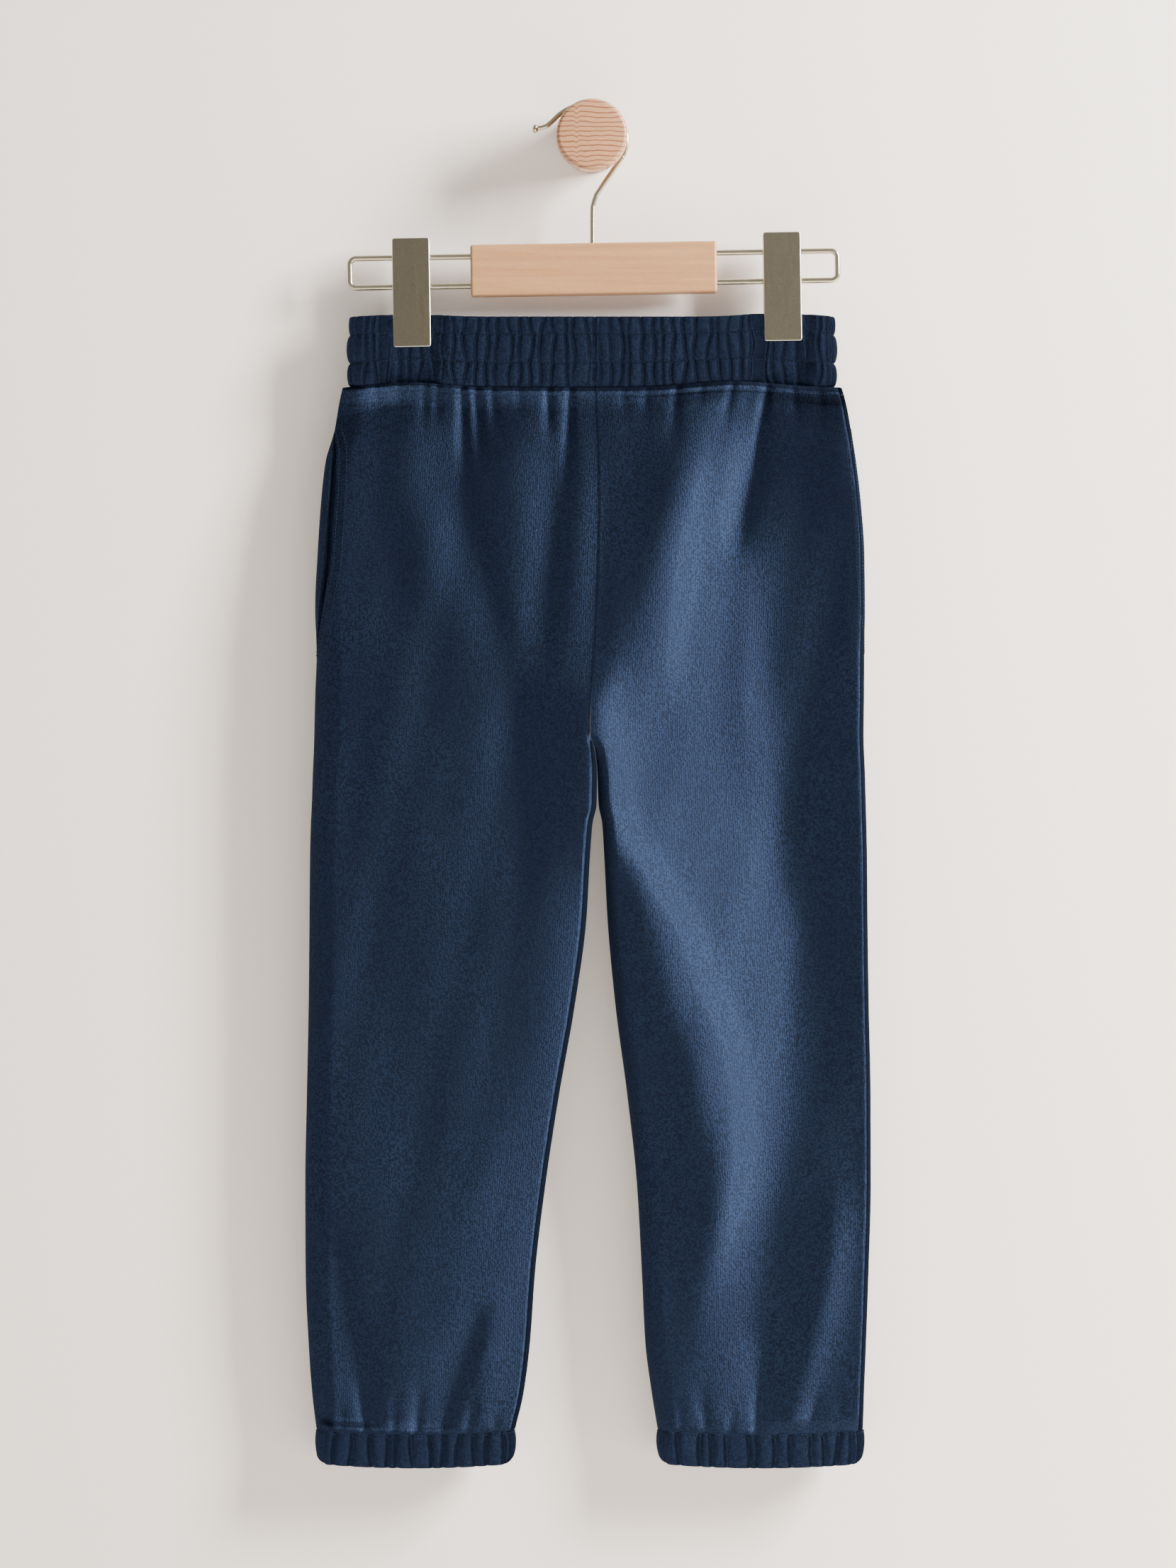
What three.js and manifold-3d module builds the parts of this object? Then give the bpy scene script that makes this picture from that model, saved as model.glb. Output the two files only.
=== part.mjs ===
// Jogger sweatpants for a child of four to five, hung from a two-clip hanger on a round wooden wall knob.
//
// Units are millimetres and Z is up. The wall is the plane y = 0 and the cloth hangs on its negative side,
// with the garment's back turned to the viewer, so "left" is the wearer's left and the viewer's left too.
// The origin is the middle of the knob's back face, where the knob is fixed to the wall.

import * as THREE from 'three';
import { mergeVertices } from 'three/addons/utils/BufferGeometryUtils.js';
import Module from 'manifold-3d';

const wasm = await Module();
wasm.setup();

// Driving dimensions of the cloth
const GAP = 0.3;
const GARMENT_Y = -20;
const FLEECE = 2;
const FACING = 1.2;
const LEAST_HALF_DEPTH = 3.1;
const SIDE_ROUND = 14;

// Where the clips lift the waistband's top edge and the waist seam below it, as soft rises
const TOP_EDGE_RISES = [{ x: -102, rise: 1.8, width: 20 }, { x: 105, rise: 2.4, width: 22 }];
const WAIST_SEAM_RISES = [{ x: -102, rise: 3.0, width: 26 }, { x: 80, rise: 3.6, width: 34 }];
const SEAM_FOLLOW = { belowWaist: 40, aboveHem: 45 };

// The waistband: three puffed rows over a plain inside, gathered by elastic
const WAIST = {
  left: -136.2, right: 136.4, top: -101, bottom: -140.85,
  halfDepth: 7, clippedHalfDepth: 2.8, endRound: 8,
  insideDrop: 1.6, gathers: 90, gatherDepth: 0.9,
  centreSeamX: 1.6, centreSeamHalfWidth: 6, centreSeamFlatness: 0.8,
};
const WAIST_LEVELS = [
  // share of the height from the top, height of the puff, sideways lean of the gathers
  { share: 0.0, puff: 0.3, lean: 0.0 },
  { share: 0.13, puff: 0.9, lean: 0.25 },
  { share: 0.264, puff: 0.0, lean: 0.0 },
  { share: 0.46, puff: 2.1, lean: -0.3 },
  { share: 0.668, puff: 0.0, lean: 0.1 },
  { share: 0.84, puff: 1.9, lean: 0.35 },
  { share: 1.0, puff: 0.6, lean: 0.0 },
];

// How the gathers vary in depth and lean from one to the next, and how flat they are at the ring's edges
const GATHER_WAVE = { mean: 0.75, swing: 0.25, quick: 2.4, slow: 1.7, atEdges: 0.45 };

// The elasticated hems
const HEM = {
  top: -728, bottom: -747, sag: 2.6, halfDepth: 8.4, endRound: 9, cornerRound: 6.5,
  insideDrop: 1.6, gathers: 28, gatherDepth: 0.7,
};
const HEM_ENDS = {
  left: { left: -155.2, right: -43.9 },
  right: { left: 37.5, right: 152.8 },
};
const HEM_LEVELS = [
  { share: 0.0, puff: 0.2, lean: 0.0 },
  { share: 0.3, puff: 1.1, lean: 0.2 },
  { share: 0.8, puff: 0.9, lean: -0.15 },
  { share: 1.0, puff: -0.4, lean: 0.0 },
];

// Body and leg sections from the waist seam to the hems. The inner columns are the centre seam down to
// the crotch and the inner leg edges below it; back and front are half depths from the middle plane.
const SECTIONS = [
  { z: -141, leftSide: -140.8, leftInner: 2.7, rightInner: 2.7, rightSide: 141.0, back: 8.6, front: 7.6 },
  { z: -150, leftSide: -142.8, leftInner: 3.1, rightInner: 3.1, rightSide: 143.4, back: 9.6, front: 8.2 },
  { z: -166, leftSide: -145.6, leftInner: 3.9, rightInner: 3.9, rightSide: 146.3, back: 11.6, front: 9.6 },
  { z: -182, leftSide: -150.2, leftInner: 4.4, rightInner: 4.4, rightSide: 148.9, back: 13.2, front: 10.7 },
  { z: -205, leftSide: -152.9, leftInner: 4.6, rightInner: 4.6, rightSide: 151.6, back: 14.8, front: 11.8 },
  { z: -235, leftSide: -154.9, leftInner: 4.2, rightInner: 4.2, rightSide: 153.7, back: 16.2, front: 12.8 },
  { z: -265, leftSide: -156.2, leftInner: 3.1, rightInner: 3.1, rightSide: 154.0, back: 17.0, front: 13.4 },
  { z: -290, leftSide: -155.4, leftInner: 1.8, rightInner: 1.8, rightSide: 153.6, back: 17.2, front: 13.6 },
  { z: -315, leftSide: -156.3, leftInner: -0.4, rightInner: -0.4, rightSide: 153.5, back: 16.8, front: 13.6 },
  { z: -337, leftSide: -156.8, leftInner: -0.8, rightInner: -0.8, rightSide: 153.2, back: 16.2, front: 13.4 },
  { z: -344, leftSide: -157.0, leftInner: 1.4, rightInner: 1.4, rightSide: 153.4, back: 16.0, front: 13.2 },
  { z: -358, leftSide: -157.6, leftInner: 3.0, rightInner: 3.0, rightSide: 154.0, back: 15.6, front: 13.0 },
  { z: -376, leftSide: -158.2, leftInner: 2.8, rightInner: 3.6, rightSide: 154.5, back: 15.0, front: 12.8 },
  { z: -386, leftSide: -158.7, leftInner: 0.6, rightInner: 5.6, rightSide: 154.8, back: 14.8, front: 12.8 },
  { z: -405, leftSide: -159.2, leftInner: -0.9, rightInner: 6.8, rightSide: 155.2, back: 14.4, front: 12.6 },
  { z: -440, leftSide: -159.5, leftInner: -2.9, rightInner: 8.6, rightSide: 155.5, back: 13.8, front: 12.4 },
  { z: -490, leftSide: -160.0, leftInner: -9.6, rightInner: 13.2, rightSide: 156.2, back: 13.2, front: 12.0 },
  { z: -540, leftSide: -161.0, leftInner: -18.4, rightInner: 19.8, rightSide: 157.2, back: 12.6, front: 11.4 },
  { z: -590, leftSide: -161.9, leftInner: -26.0, rightInner: 25.2, rightSide: 157.3, back: 12.0, front: 10.8 },
  { z: -640, leftSide: -161.7, leftInner: -31.9, rightInner: 28.0, rightSide: 156.0, back: 11.2, front: 10.2 },
  { z: -680, leftSide: -160.0, leftInner: -34.8, rightInner: 30.0, rightSide: 154.6, back: 10.6, front: 9.6 },
  { z: -708, leftSide: -158.0, leftInner: -38.4, rightInner: 33.6, rightSide: 153.5, back: 10.0, front: 9.2 },
  { z: -727.7, leftSide: -155.6, leftInner: -43.0, rightInner: 36.8, rightSide: 152.9, back: 9.4, front: 8.8 },
];

// Where each half of the cloth turns in between the legs, and how round the inner leg is there
const CROTCH = { back: { start: -338, power: 0.62 }, front: { start: -350, power: 0.8 }, end: -379 };
const INNER_ROUND = { atCrotch: 6, atHem: 11, growsOver: 300 };

// The side pocket's mouth: how far the back panel's edge is set in from the side, by height
const POCKET_SETBACK = [
  { z: -166, left: 0.0, right: 0.0 },
  { z: -182, left: 6.2, right: 1.2 },
  { z: -205, left: 8.2, right: 1.6 },
  { z: -235, left: 8.4, right: 1.6 },
  { z: -265, left: 4.8, right: 1.2 },
  { z: -290, left: 0.0, right: 0.0 },
];
const POCKET_LIP_SHARE = 0.52;
const FACING_LEVELS = [-174, -182, -205, -235, -265, -282];
const FACING_DROP = { left: FLEECE + 1.8, right: FLEECE + 1.05 };
const FACING_REACH = 0.75;

// Folds, each a crest line of x and z points with a soft cross-section. A negative height is a trough.
// The rise and the fall are the shares of its length over which it comes in and fades.
const BACK_FOLDS = [
  // the seat, right of the centre seam
  {
    width: 17, height: 4.4, rise: 0.15, fall: 0.3,
    path: [[60, -146], [46, -194], [36, -242], [24, -290], [8, -334]],
  },
  {
    width: 11, height: -4.6, rise: 0.02, fall: 0.4,
    path: [[100, -141], [91, -194], [82, -230], [68, -290], [58, -346]],
  },
  {
    width: 12, height: 2.8, rise: 0.1, fall: 0.4,
    path: [[110, -146], [105, -194], [92, -236], [78, -300], [72, -350]],
  },
  {
    width: 12, height: -2.6, rise: 0.1, fall: 0.3,
    path: [[121, -146], [127, -215], [126, -330], [124, -420]],
  },
  // the right leg
  {
    width: 26, height: 5.2, rise: 0.2, fall: 0.3,
    path: [[8, -322], [22, -418], [46, -482], [66, -546], [70, -610], [52, -690]],
  },
  {
    width: 16, height: -3.0, rise: 0.3, fall: 0.3,
    path: [[108, -340], [116, -450], [118, -560], [112, -640], [100, -705]],
  },
  {
    width: 9, height: 3.2, rise: 0.4, fall: 0.05,
    path: [[142, -590], [132, -642], [124, -674], [109, -727]],
  },
  { width: 7, height: -2.4, rise: 0.4, fall: 0.05, path: [[98, -660], [96, -700], [94, -727]] },
  // the seat, left of the centre seam
  {
    width: 18, height: 3.4, rise: 0.15, fall: 0.4,
    path: [[-98, -148], [-105, -195], [-98, -226], [-84, -290]],
  },
  {
    width: 12, height: -4.2, rise: 0.02, fall: 0.5,
    path: [[-71, -141], [-73, -195], [-65, -226], [-52, -290], [-46, -360]],
  },
  {
    width: 12, height: 2.8, rise: 0.1, fall: 0.5,
    path: [[-38, -146], [-47, -195], [-42, -226], [-36, -262]],
  },
  {
    width: 9, height: -3.0, rise: 0.05, fall: 0.4,
    path: [[-14, -141], [-18, -195], [-23, -230], [-24, -290]],
  },
  // the left leg
  {
    width: 20, height: 3.2, rise: 0.2, fall: 0.2,
    path: [[-14, -310], [-22, -420], [-44, -500], [-80, -600], [-96, -700]],
  },
  {
    width: 8, height: -2.8, rise: 0.4, fall: 0.05,
    path: [[-143, -620], [-136, -662], [-130, -698], [-121, -727]],
  },
  { width: 8, height: -2.4, rise: 0.4, fall: 0.05, path: [[-66, -655], [-78, -698], [-90, -727]] },
];
const FRONT_FOLDS = [
  { width: 14, height: -3.0, rise: 0.02, fall: 0.5, path: [[-96, -141], [-84, -210], [-58, -300]] },
  { width: 16, height: 2.6, rise: 0.15, fall: 0.4, path: [[-64, -146], [-50, -220], [-22, -330]] },
  { width: 14, height: -3.2, rise: 0.02, fall: 0.5, path: [[92, -141], [80, -215], [56, -310]] },
  { width: 16, height: 2.8, rise: 0.15, fall: 0.4, path: [[58, -146], [46, -225], [24, -335]] },
  {
    width: 22, height: 2.8, rise: 0.3, fall: 0.3,
    path: [[-30, -360], [-62, -480], [-92, -600], [-104, -690]],
  },
  { width: 22, height: 2.8, rise: 0.3, fall: 0.3, path: [[34, -360], [62, -470], [88, -590], [100, -690]] },
  { width: 16, height: -2.4, rise: 0.3, fall: 0.3, path: [[-126, -340], [-130, -470], [-122, -620]] },
  { width: 16, height: -2.4, rise: 0.3, fall: 0.3, path: [[124, -350], [126, -480], [118, -630]] },
];
const CENTRE_GROOVE = { width: 8, back: 2.6, front: 1.6, end: -330, fade: 30 };
// Folds are shallower where the waistband holds the cloth
const FOLD_ROOM = { atSeam: 0.35, below: 50 };

// The mesh of a panel: steps round the side, over the flat and round the inner leg
const SIDE_STEPS = 4;
const FLAT_STEPS = 10;
const INNER_STEPS = 3;
const RING_STEPS_PER_GATHER = 3;
// Small steps over which the outward direction of the cloth is worked out
const NORMAL_STEP = { column: 0.05, z: 0.4, ofGather: 1 / 12 };

// Driving dimensions of the hanger and the knob
const HANGER = { x: 1, z: -73.9, tiltDegrees: 0.92 };
const BAR = { length: 138.8, height: 28.8, thickness: 14, cornerRound: 2, edgeRound: 1.2 };
const WIRE = { radius: 1.65, halfSpacing: 8.3, halfLength: 137.6, bendRadius: 3.6, socketDepth: 12 };
const CLIP = { width: 21.2, height: 61.5, thickness: 1.6, cornerRound: 1.4, edgeRound: 0.4, z: -11.75 };
const CLIP_HALF_GAP = 4.2;
const CLIP_PLACES = { left: -102.9, right: 106.2 };
const CLIP_WORLD_X = [-101.7, 107.4];
const PINCH = { halfWidth: 22, fullTo: -118, atSeam: 0.6, end: -190, flattens: 0.6, evenness: 4 };
const SPRING = { radius: CLIP_HALF_GAP - GAP, length: 16, sides: 16 };
const HOOK = {
  wireRadius: 1.45, stemX: 0.36, stemBottom: -68, cornerZ: -34.9, cornerRound: 6,
  arcX: -0.4, arcZ: -0.7, arcRadius: 20.05, arcStartDegrees: -34.4, arcEndDegrees: 104, arcSteps: 14,
  endBall: { x: -32, z: 5.5, halfWidth: 1.8, halfHeight: 2.6 },
};
const HOOK_TAIL = [
  { x: -12.0, z: 17.4 },
  { x: -18.0, z: 13.9 },
  { x: -22.6, z: 9.6 },
  { x: -26.4, z: 6.7 },
  { x: -31.6, z: 5.6 },
];
const KNOB = { neckRadius: 17.5, headRadius: 20, neckLength: 27, length: 42, edgeRound: 2.4, segments: 36 };

const COLOURS = {
  navyFleece: 0x2f3f55, beech: 0xcdaf93, knobBeech: 0xcca68c, zincWire: 0xb9b5aa, brassSteel: 0x8a826c,
};

// Small helpers

const clamp = (value, low, high) => Math.min(high, Math.max(low, value));
const lerp = (a, b, share) => a + (b - a) * share;
const smooth = (share) => {
  const s = clamp(share, 0, 1);
  return s * s * (3 - 2 * s);
};
const bell = (distance, width) => Math.exp(-((distance / width) ** 2));
const degrees = (angle) => (angle * Math.PI) / 180;

// A value of one column of a table whose rows run down in z
function columnAt(table, column, z) {
  if (z >= table[0].z) return table[0][column];
  for (let row = 1; row < table.length; row += 1) {
    const upper = table[row - 1];
    const lower = table[row];
    if (z >= lower.z) return lerp(upper[column], lower[column], (upper.z - z) / (upper.z - lower.z));
  }
  return table[table.length - 1][column];
}

// Solids

function material(colour, roughness, metalness = 0) {
  return new THREE.MeshStandardMaterial({ color: colour, roughness, metalness });
}

function named(name, geometry, surface) {
  const mesh = new THREE.Mesh(geometry, surface);
  mesh.name = name;
  return mesh;
}

// A closed mesh from points and triangles, turned so that its faces point out
function closedSolid(points, triangles) {
  let volume = 0;
  for (const [a, b, c] of triangles) volume += points[a].dot(points[b].clone().cross(points[c]));
  const index = triangles.flatMap(([a, b, c]) => (volume > 0 ? [a, b, c] : [a, c, b]));
  const geometry = new THREE.BufferGeometry().setFromPoints(points);
  geometry.setIndex(index);
  geometry.computeVertexNormals();
  return geometry;
}

// Triangles between two rows of point numbers; the longer row has a whole multiple of the shorter's steps
function band(triangles, upper, lower, closed) {
  const spare = closed ? 0 : 1;
  const upperSteps = upper.length - spare;
  const lowerSteps = lower.length - spare;
  const steps = Math.max(upperSteps, lowerSteps);
  const pick = (row, rowSteps, step) => row[Math.floor((step * rowSteps) / steps) % row.length];
  for (let step = 0; step < steps; step += 1) {
    const a = pick(upper, upperSteps, step);
    const b = pick(upper, upperSteps, step + 1);
    const c = pick(lower, lowerSteps, step);
    const d = pick(lower, lowerSteps, step + 1);
    if (a !== b) triangles.push([a, c, b]);
    if (c !== d) triangles.push([b, c, d]);
  }
}

// A wall between an outer and an inner grid of points: an open panel, or a ring when it is closed
function wallSolid(outerRows, innerRows, closed) {
  const points = [];
  const number = (row) => row.map((point) => points.push(point) - 1);
  const outer = outerRows.map(number);
  const inner = innerRows.map(number);
  const around = [...outer, ...inner.reverse()];
  const triangles = [];
  around.forEach((row, place) => band(triangles, row, around[(place + 1) % around.length], closed));
  if (!closed) {
    const rowCount = outer.length;
    for (const edge of ['first', 'last']) {
      const pick = (row) => (edge === 'first' ? row[0] : row[row.length - 1]);
      const outside = outer.map(pick);
      const inside = inner.map(pick).reverse();
      for (let row = 0; row + 1 < rowCount; row += 1) {
        const quad = [outside[row], outside[row + 1], inside[row + 1], inside[row]];
        if (edge === 'last') quad.reverse();
        triangles.push([quad[0], quad[2], quad[1]], [quad[0], quad[3], quad[2]]);
      }
    }
  }
  return closedSolid(points, triangles);
}

// A three.js geometry as a manifold solid, and back
function toManifold(geometry) {
  const bare = geometry.clone();
  bare.deleteAttribute('normal');
  bare.deleteAttribute('uv');
  const merged = mergeVertices(bare, 1e-4);
  return new wasm.Manifold(new wasm.Mesh({
    numProp: 3,
    vertProperties: Float32Array.from(merged.attributes.position.array),
    triVerts: Uint32Array.from(merged.index.array),
  }));
}

function fromManifold(solid) {
  const mesh = solid.getMesh();
  const geometry = new THREE.BufferGeometry();
  geometry.setAttribute('position', new THREE.BufferAttribute(Float32Array.from(mesh.vertProperties), 3));
  geometry.setIndex([...mesh.triVerts]);
  geometry.computeVertexNormals();
  return geometry;
}

// The form of the cloth

// How strongly the clips press the two layers together at this place
function pinchAt(x, z) {
  const away = Math.min(...CLIP_WORLD_X.map((clipX) => Math.abs(x - clipX)));
  const near = Math.exp(-((away / PINCH.halfWidth) ** PINCH.evenness));
  const toSeam = lerp(1, PINCH.atSeam, smooth((PINCH.fullTo - z) / (PINCH.fullTo - WAIST.bottom)));
  const below = 1 - smooth((WAIST.bottom - z) / (WAIST.bottom - PINCH.end));
  return near * toSeam * below;
}

// The rise of the waistband's top edge at the clips, and of the waist seam under them
function riseAt(rises, x) {
  return rises.reduce((sum, place) => sum + place.rise * bell(x - place.x, place.width), 0);
}

const topLift = (x) => riseAt(TOP_EDGE_RISES, x);
const seamLift = (x) => riseAt(WAIST_SEAM_RISES, x);

function crestX(path, z) {
  const rows = path.map(([x, height]) => ({ x, z: height }));
  return columnAt(rows, 'x', z);
}

function foldHeight(fold, x, z) {
  const top = fold.path[0][1];
  const bottom = fold.path[fold.path.length - 1][1];
  const along = (top - z) / (top - bottom);
  const strength = smooth(along / fold.rise) * smooth((1 - along) / fold.fall);
  return strength === 0 ? 0 : fold.height * strength * bell(x - crestX(fold.path, z), fold.width);
}

// Half depth of the body and legs from the middle plane, with folds, seam groove and pinch
function clothDepth(half, x, z) {
  const face = half < 0 ? 'back' : 'front';
  const folds = half < 0 ? BACK_FOLDS : FRONT_FOLDS;
  const plain = columnAt(SECTIONS, face, z);
  const flat = lerp(plain, WAIST.clippedHalfDepth + FLEECE, pinchAt(x, z));
  const room = lerp(FOLD_ROOM.atSeam, 1, smooth((WAIST.bottom - z) / FOLD_ROOM.below));
  const relief = folds.reduce((sum, fold) => sum + foldHeight(fold, x, z), 0) * room;
  const groove = CENTRE_GROOVE[face] * bell(x - columnAt(SECTIONS, 'leftInner', z), CENTRE_GROOVE.width)
    * smooth((z - CENTRE_GROOVE.end) / CENTRE_GROOVE.fade) * room;
  return Math.max(LEAST_HALF_DEPTH, flat + relief - groove);
}

// 0 where the panel ends at the centre seam, 1 where it wraps round the inner leg
function crotchTurn(half, z) {
  const turn = half < 0 ? CROTCH.back : CROTCH.front;
  return clamp((turn.start - z) / (turn.start - CROTCH.end), 0, 1) ** turn.power;
}

// A point of a panel's outer face. The column runs from 0 at the side seam to the last at the centre seam
// or inseam; a column below 0 goes on round the side onto the other half.
function panelPoint(side, half, column, z) {
  if (column < 0) return panelPoint(side, -half, -column, z);
  const inward = side === 'left' ? 1 : -1;
  const outerX = columnAt(SECTIONS, `${side}Side`, z);
  const innerX = columnAt(SECTIONS, `${side}Inner`, z) - (inward * GAP) / 2;
  const width = Math.abs(innerX - outerX);
  const downLeg = smooth((CROTCH.end - z) / INNER_ROUND.growsOver);
  const innerRound = lerp(INNER_ROUND.atCrotch, INNER_ROUND.atHem, downLeg);
  const turn = crotchTurn(half, z);
  let across;
  let share = 1;
  if (column < SIDE_STEPS) {
    const angle = degrees((90 * column) / SIDE_STEPS);
    across = SIDE_ROUND * (1 - Math.cos(angle));
    share = Math.sin(angle);
  } else if (column <= SIDE_STEPS + FLAT_STEPS) {
    across = lerp(SIDE_ROUND, width - innerRound, (column - SIDE_STEPS) / FLAT_STEPS);
  } else {
    const way = (column - SIDE_STEPS - FLAT_STEPS) / INNER_STEPS;
    const angle = degrees(90 * way);
    across = width - innerRound * lerp(1 - way, 1 - Math.sin(angle), turn);
    share = Math.cos(angle * turn);
  }
  const x = outerX + inward * across;
  const y = GARMENT_Y + half * (GAP / 2 + clothDepth(half, x, z) * share);
  return new THREE.Vector3(x, y, z);
}

// The outward direction at a place of a panel
function panelNormal(side, half, column, z) {
  const step = NORMAL_STEP;
  const alongColumn = panelPoint(side, half, column + step.column, z)
    .sub(panelPoint(side, half, column - step.column, z));
  const alongHeight = panelPoint(side, half, column, z + step.z)
    .sub(panelPoint(side, half, column, z - step.z));
  const normal = alongColumn.cross(alongHeight).normalize();
  const turned = side === 'left' ? -half : half;
  return normal.multiplyScalar(turned);
}

// The seam lines at the waist and at the hem aren't level, and the cloth next to them follows
function followSeams(point, side) {
  const ends = HEM_ENDS[side];
  const atWaist = 1 - smooth((WAIST.bottom - point.z) / SEAM_FOLLOW.belowWaist);
  const atHem = smooth((HEM.top + SEAM_FOLLOW.aboveHem - point.z) / SEAM_FOLLOW.aboveHem);
  point.z += seamLift(point.x) * atWaist - hemSag(point.x, ends) * atHem;
  return point;
}

function hemSag(x, ends) {
  const share = clamp((x - ends.left) / (ends.right - ends.left), 0, 1);
  return HEM.sag * (1 - (2 * share - 1) ** 2);
}

// The column where a panel's side edge lies: at the side seam, or set back or lapped over in the pocket
function edgeColumn(side, half, z) {
  const setback = columnAt(POCKET_SETBACK, side, z);
  const shown = half < 0 ? setback : setback * POCKET_LIP_SHARE;
  const column = (Math.acos(1 - shown / SIDE_ROUND) / degrees(90)) * SIDE_STEPS;
  return half < 0 ? column : -column;
}

function panel(side, half) {
  const columnCount = SIDE_STEPS + FLAT_STEPS + INNER_STEPS;
  const outer = [];
  const inner = [];
  for (const { z } of SECTIONS) {
    const start = edgeColumn(side, half, z);
    const columns = Array.from({ length: columnCount + 1 }, (_, column) => (
      column < SIDE_STEPS ? lerp(start, SIDE_STEPS, column / SIDE_STEPS) : column));
    const level = z === SECTIONS[0].z ? WAIST.bottom - GAP : z;
    outer.push(columns.map((column) => followSeams(panelPoint(side, half, column, level), side)));
    inner.push(columns.map((column) => {
      const point = panelPoint(side, half, column, level);
      const normal = panelNormal(side, half, column, level);
      normal.z = 0;
      return followSeams(point.addScaledVector(normal.normalize(), -FLEECE), side);
    }));
  }
  return wallSolid(outer, inner, false);
}

// The strip of cloth behind a pocket's mouth, under the back panel's edge and the front panel's lip
function pocketFacing(side) {
  const layer = (drop) => FACING_LEVELS.map((z) => {
    const first = edgeColumn(side, -1, z) + FACING_REACH;
    const last = -FACING_REACH;
    const columns = Array.from({ length: SIDE_STEPS + 1 }, (_, step) => lerp(first, last, step / SIDE_STEPS));
    return columns.map((column) => {
      const normal = panelNormal(side, -1, column, z);
      normal.z = 0;
      return panelPoint(side, -1, column, z).addScaledVector(normal.normalize(), -drop);
    });
  });
  return wallSolid(layer(FACING_DROP[side]), layer(FACING_DROP[side] + FACING), false);
}

// Rings of gathered cloth: the waistband and the hems

// A point on a flat ring with round ends, a share of the way round from the middle of its left end
function ringPoint(ring, share) {
  const straight = ring.right - ring.left - 2 * ring.endRound;
  const cap = Math.PI * Math.sqrt((ring.endRound ** 2 + ring.depthAt(-1, ring.left) ** 2) / 2);
  const whole = 2 * (straight + cap);
  let way = (((share % 1) + 1) % 1) * whole;
  const halfWay = cap / 2 + straight + cap / 2;
  const half = way < halfWay ? -1 : 1;
  const fromRight = half > 0;
  if (fromRight) way -= halfWay;
  let across;
  let bulge = 1;
  if (way < cap / 2) {
    const angle = (way / (cap / 2)) * (Math.PI / 2);
    across = ring.endRound * (1 - Math.cos(angle));
    bulge = Math.sin(angle);
  } else if (way <= cap / 2 + straight) {
    across = ring.endRound + way - cap / 2;
  } else {
    const angle = ((way - cap / 2 - straight) / (cap / 2)) * (Math.PI / 2);
    across = ring.endRound + straight + ring.endRound * Math.sin(angle);
    bulge = Math.cos(angle);
  }
  const x = fromRight ? ring.right - across : ring.left + across;
  return new THREE.Vector2(x, GARMENT_Y + half * ring.depthAt(half, x) * bulge);
}

function ringNormal(ring, share) {
  const step = NORMAL_STEP.ofGather / ring.gathers;
  const tangent = ringPoint(ring, share + step).sub(ringPoint(ring, share - step)).normalize();
  return new THREE.Vector2(tangent.y, -tangent.x);
}

// Each gather is a flat-topped puff and a narrow groove, uneven in depth from one to the next
function gatherHeight(ring, step, x) {
  const gather = Math.floor(step / RING_STEPS_PER_GATHER);
  const groove = step % RING_STEPS_PER_GATHER === RING_STEPS_PER_GATHER - 1;
  if (!groove) return 0;
  const swing = Math.sin(gather * GATHER_WAVE.quick) * Math.cos(gather);
  const uneven = GATHER_WAVE.mean + GATHER_WAVE.swing * swing;
  return -ring.gatherDepth * uneven * ring.gatherStrength(x);
}

function gatheredRing(ring, levels) {
  const steps = ring.gathers * RING_STEPS_PER_GATHER;
  const outer = levels.map((level) => Array.from({ length: steps }, (_, step) => {
    const gather = Math.floor(step / RING_STEPS_PER_GATHER);
    const share = (step + level.lean * Math.sin(gather * GATHER_WAVE.slow)) / steps;
    const place = ringPoint(ring, share);
    const press = 1 - ring.pressAt(place.x);
    const edge = level.share === 0 || level.share === 1 ? GATHER_WAVE.atEdges : 1;
    const height = (level.puff + gatherHeight(ring, step, place.x) * edge) * press;
    place.addScaledVector(ringNormal(ring, share), height);
    return new THREE.Vector3(place.x, place.y, ring.levelZ(level.share, place.x));
  }));
  const inner = [levels[0], levels[levels.length - 1]].map((level) => (
    Array.from({ length: ring.gathers }, (_, gather) => {
      const share = gather / ring.gathers;
      const place = ringPoint(ring, share).addScaledVector(ringNormal(ring, share), -ring.insideDrop);
      return new THREE.Vector3(place.x, place.y, ring.levelZ(level.share, place.x));
    })));
  return wallSolid(outer, inner, true);
}

function waistband() {
  const seamWidth = WAIST.centreSeamHalfWidth;
  return gatheredRing({
    ...WAIST,
    depthAt: (half, x) => lerp(WAIST.halfDepth, WAIST.clippedHalfDepth, pinchAt(x, WAIST.top)),
    pressAt: (x) => PINCH.flattens * pinchAt(x, WAIST.top),
    gatherStrength: (x) => 1 - WAIST.centreSeamFlatness * bell(x - WAIST.centreSeamX, seamWidth),
    levelZ: (share, x) => lerp(WAIST.top + topLift(x), WAIST.bottom + seamLift(x), share),
  }, WAIST_LEVELS);
}

function hem(side) {
  const ends = HEM_ENDS[side];
  const cornerLift = (x) => {
    const away = clamp(Math.min(x - ends.left, ends.right - x), 0, HEM.cornerRound);
    return HEM.cornerRound - Math.sqrt(HEM.cornerRound ** 2 - (HEM.cornerRound - away) ** 2);
  };
  return gatheredRing({
    ...HEM,
    ...ends,
    depthAt: () => HEM.halfDepth,
    pressAt: () => 0,
    gatherStrength: () => 1,
    levelZ: (share, x) => lerp(HEM.top, HEM.bottom + cornerLift(x), share) - hemSag(x, ends),
  }, HEM_LEVELS);
}

// The hanger, its clips and the wall knob

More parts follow.
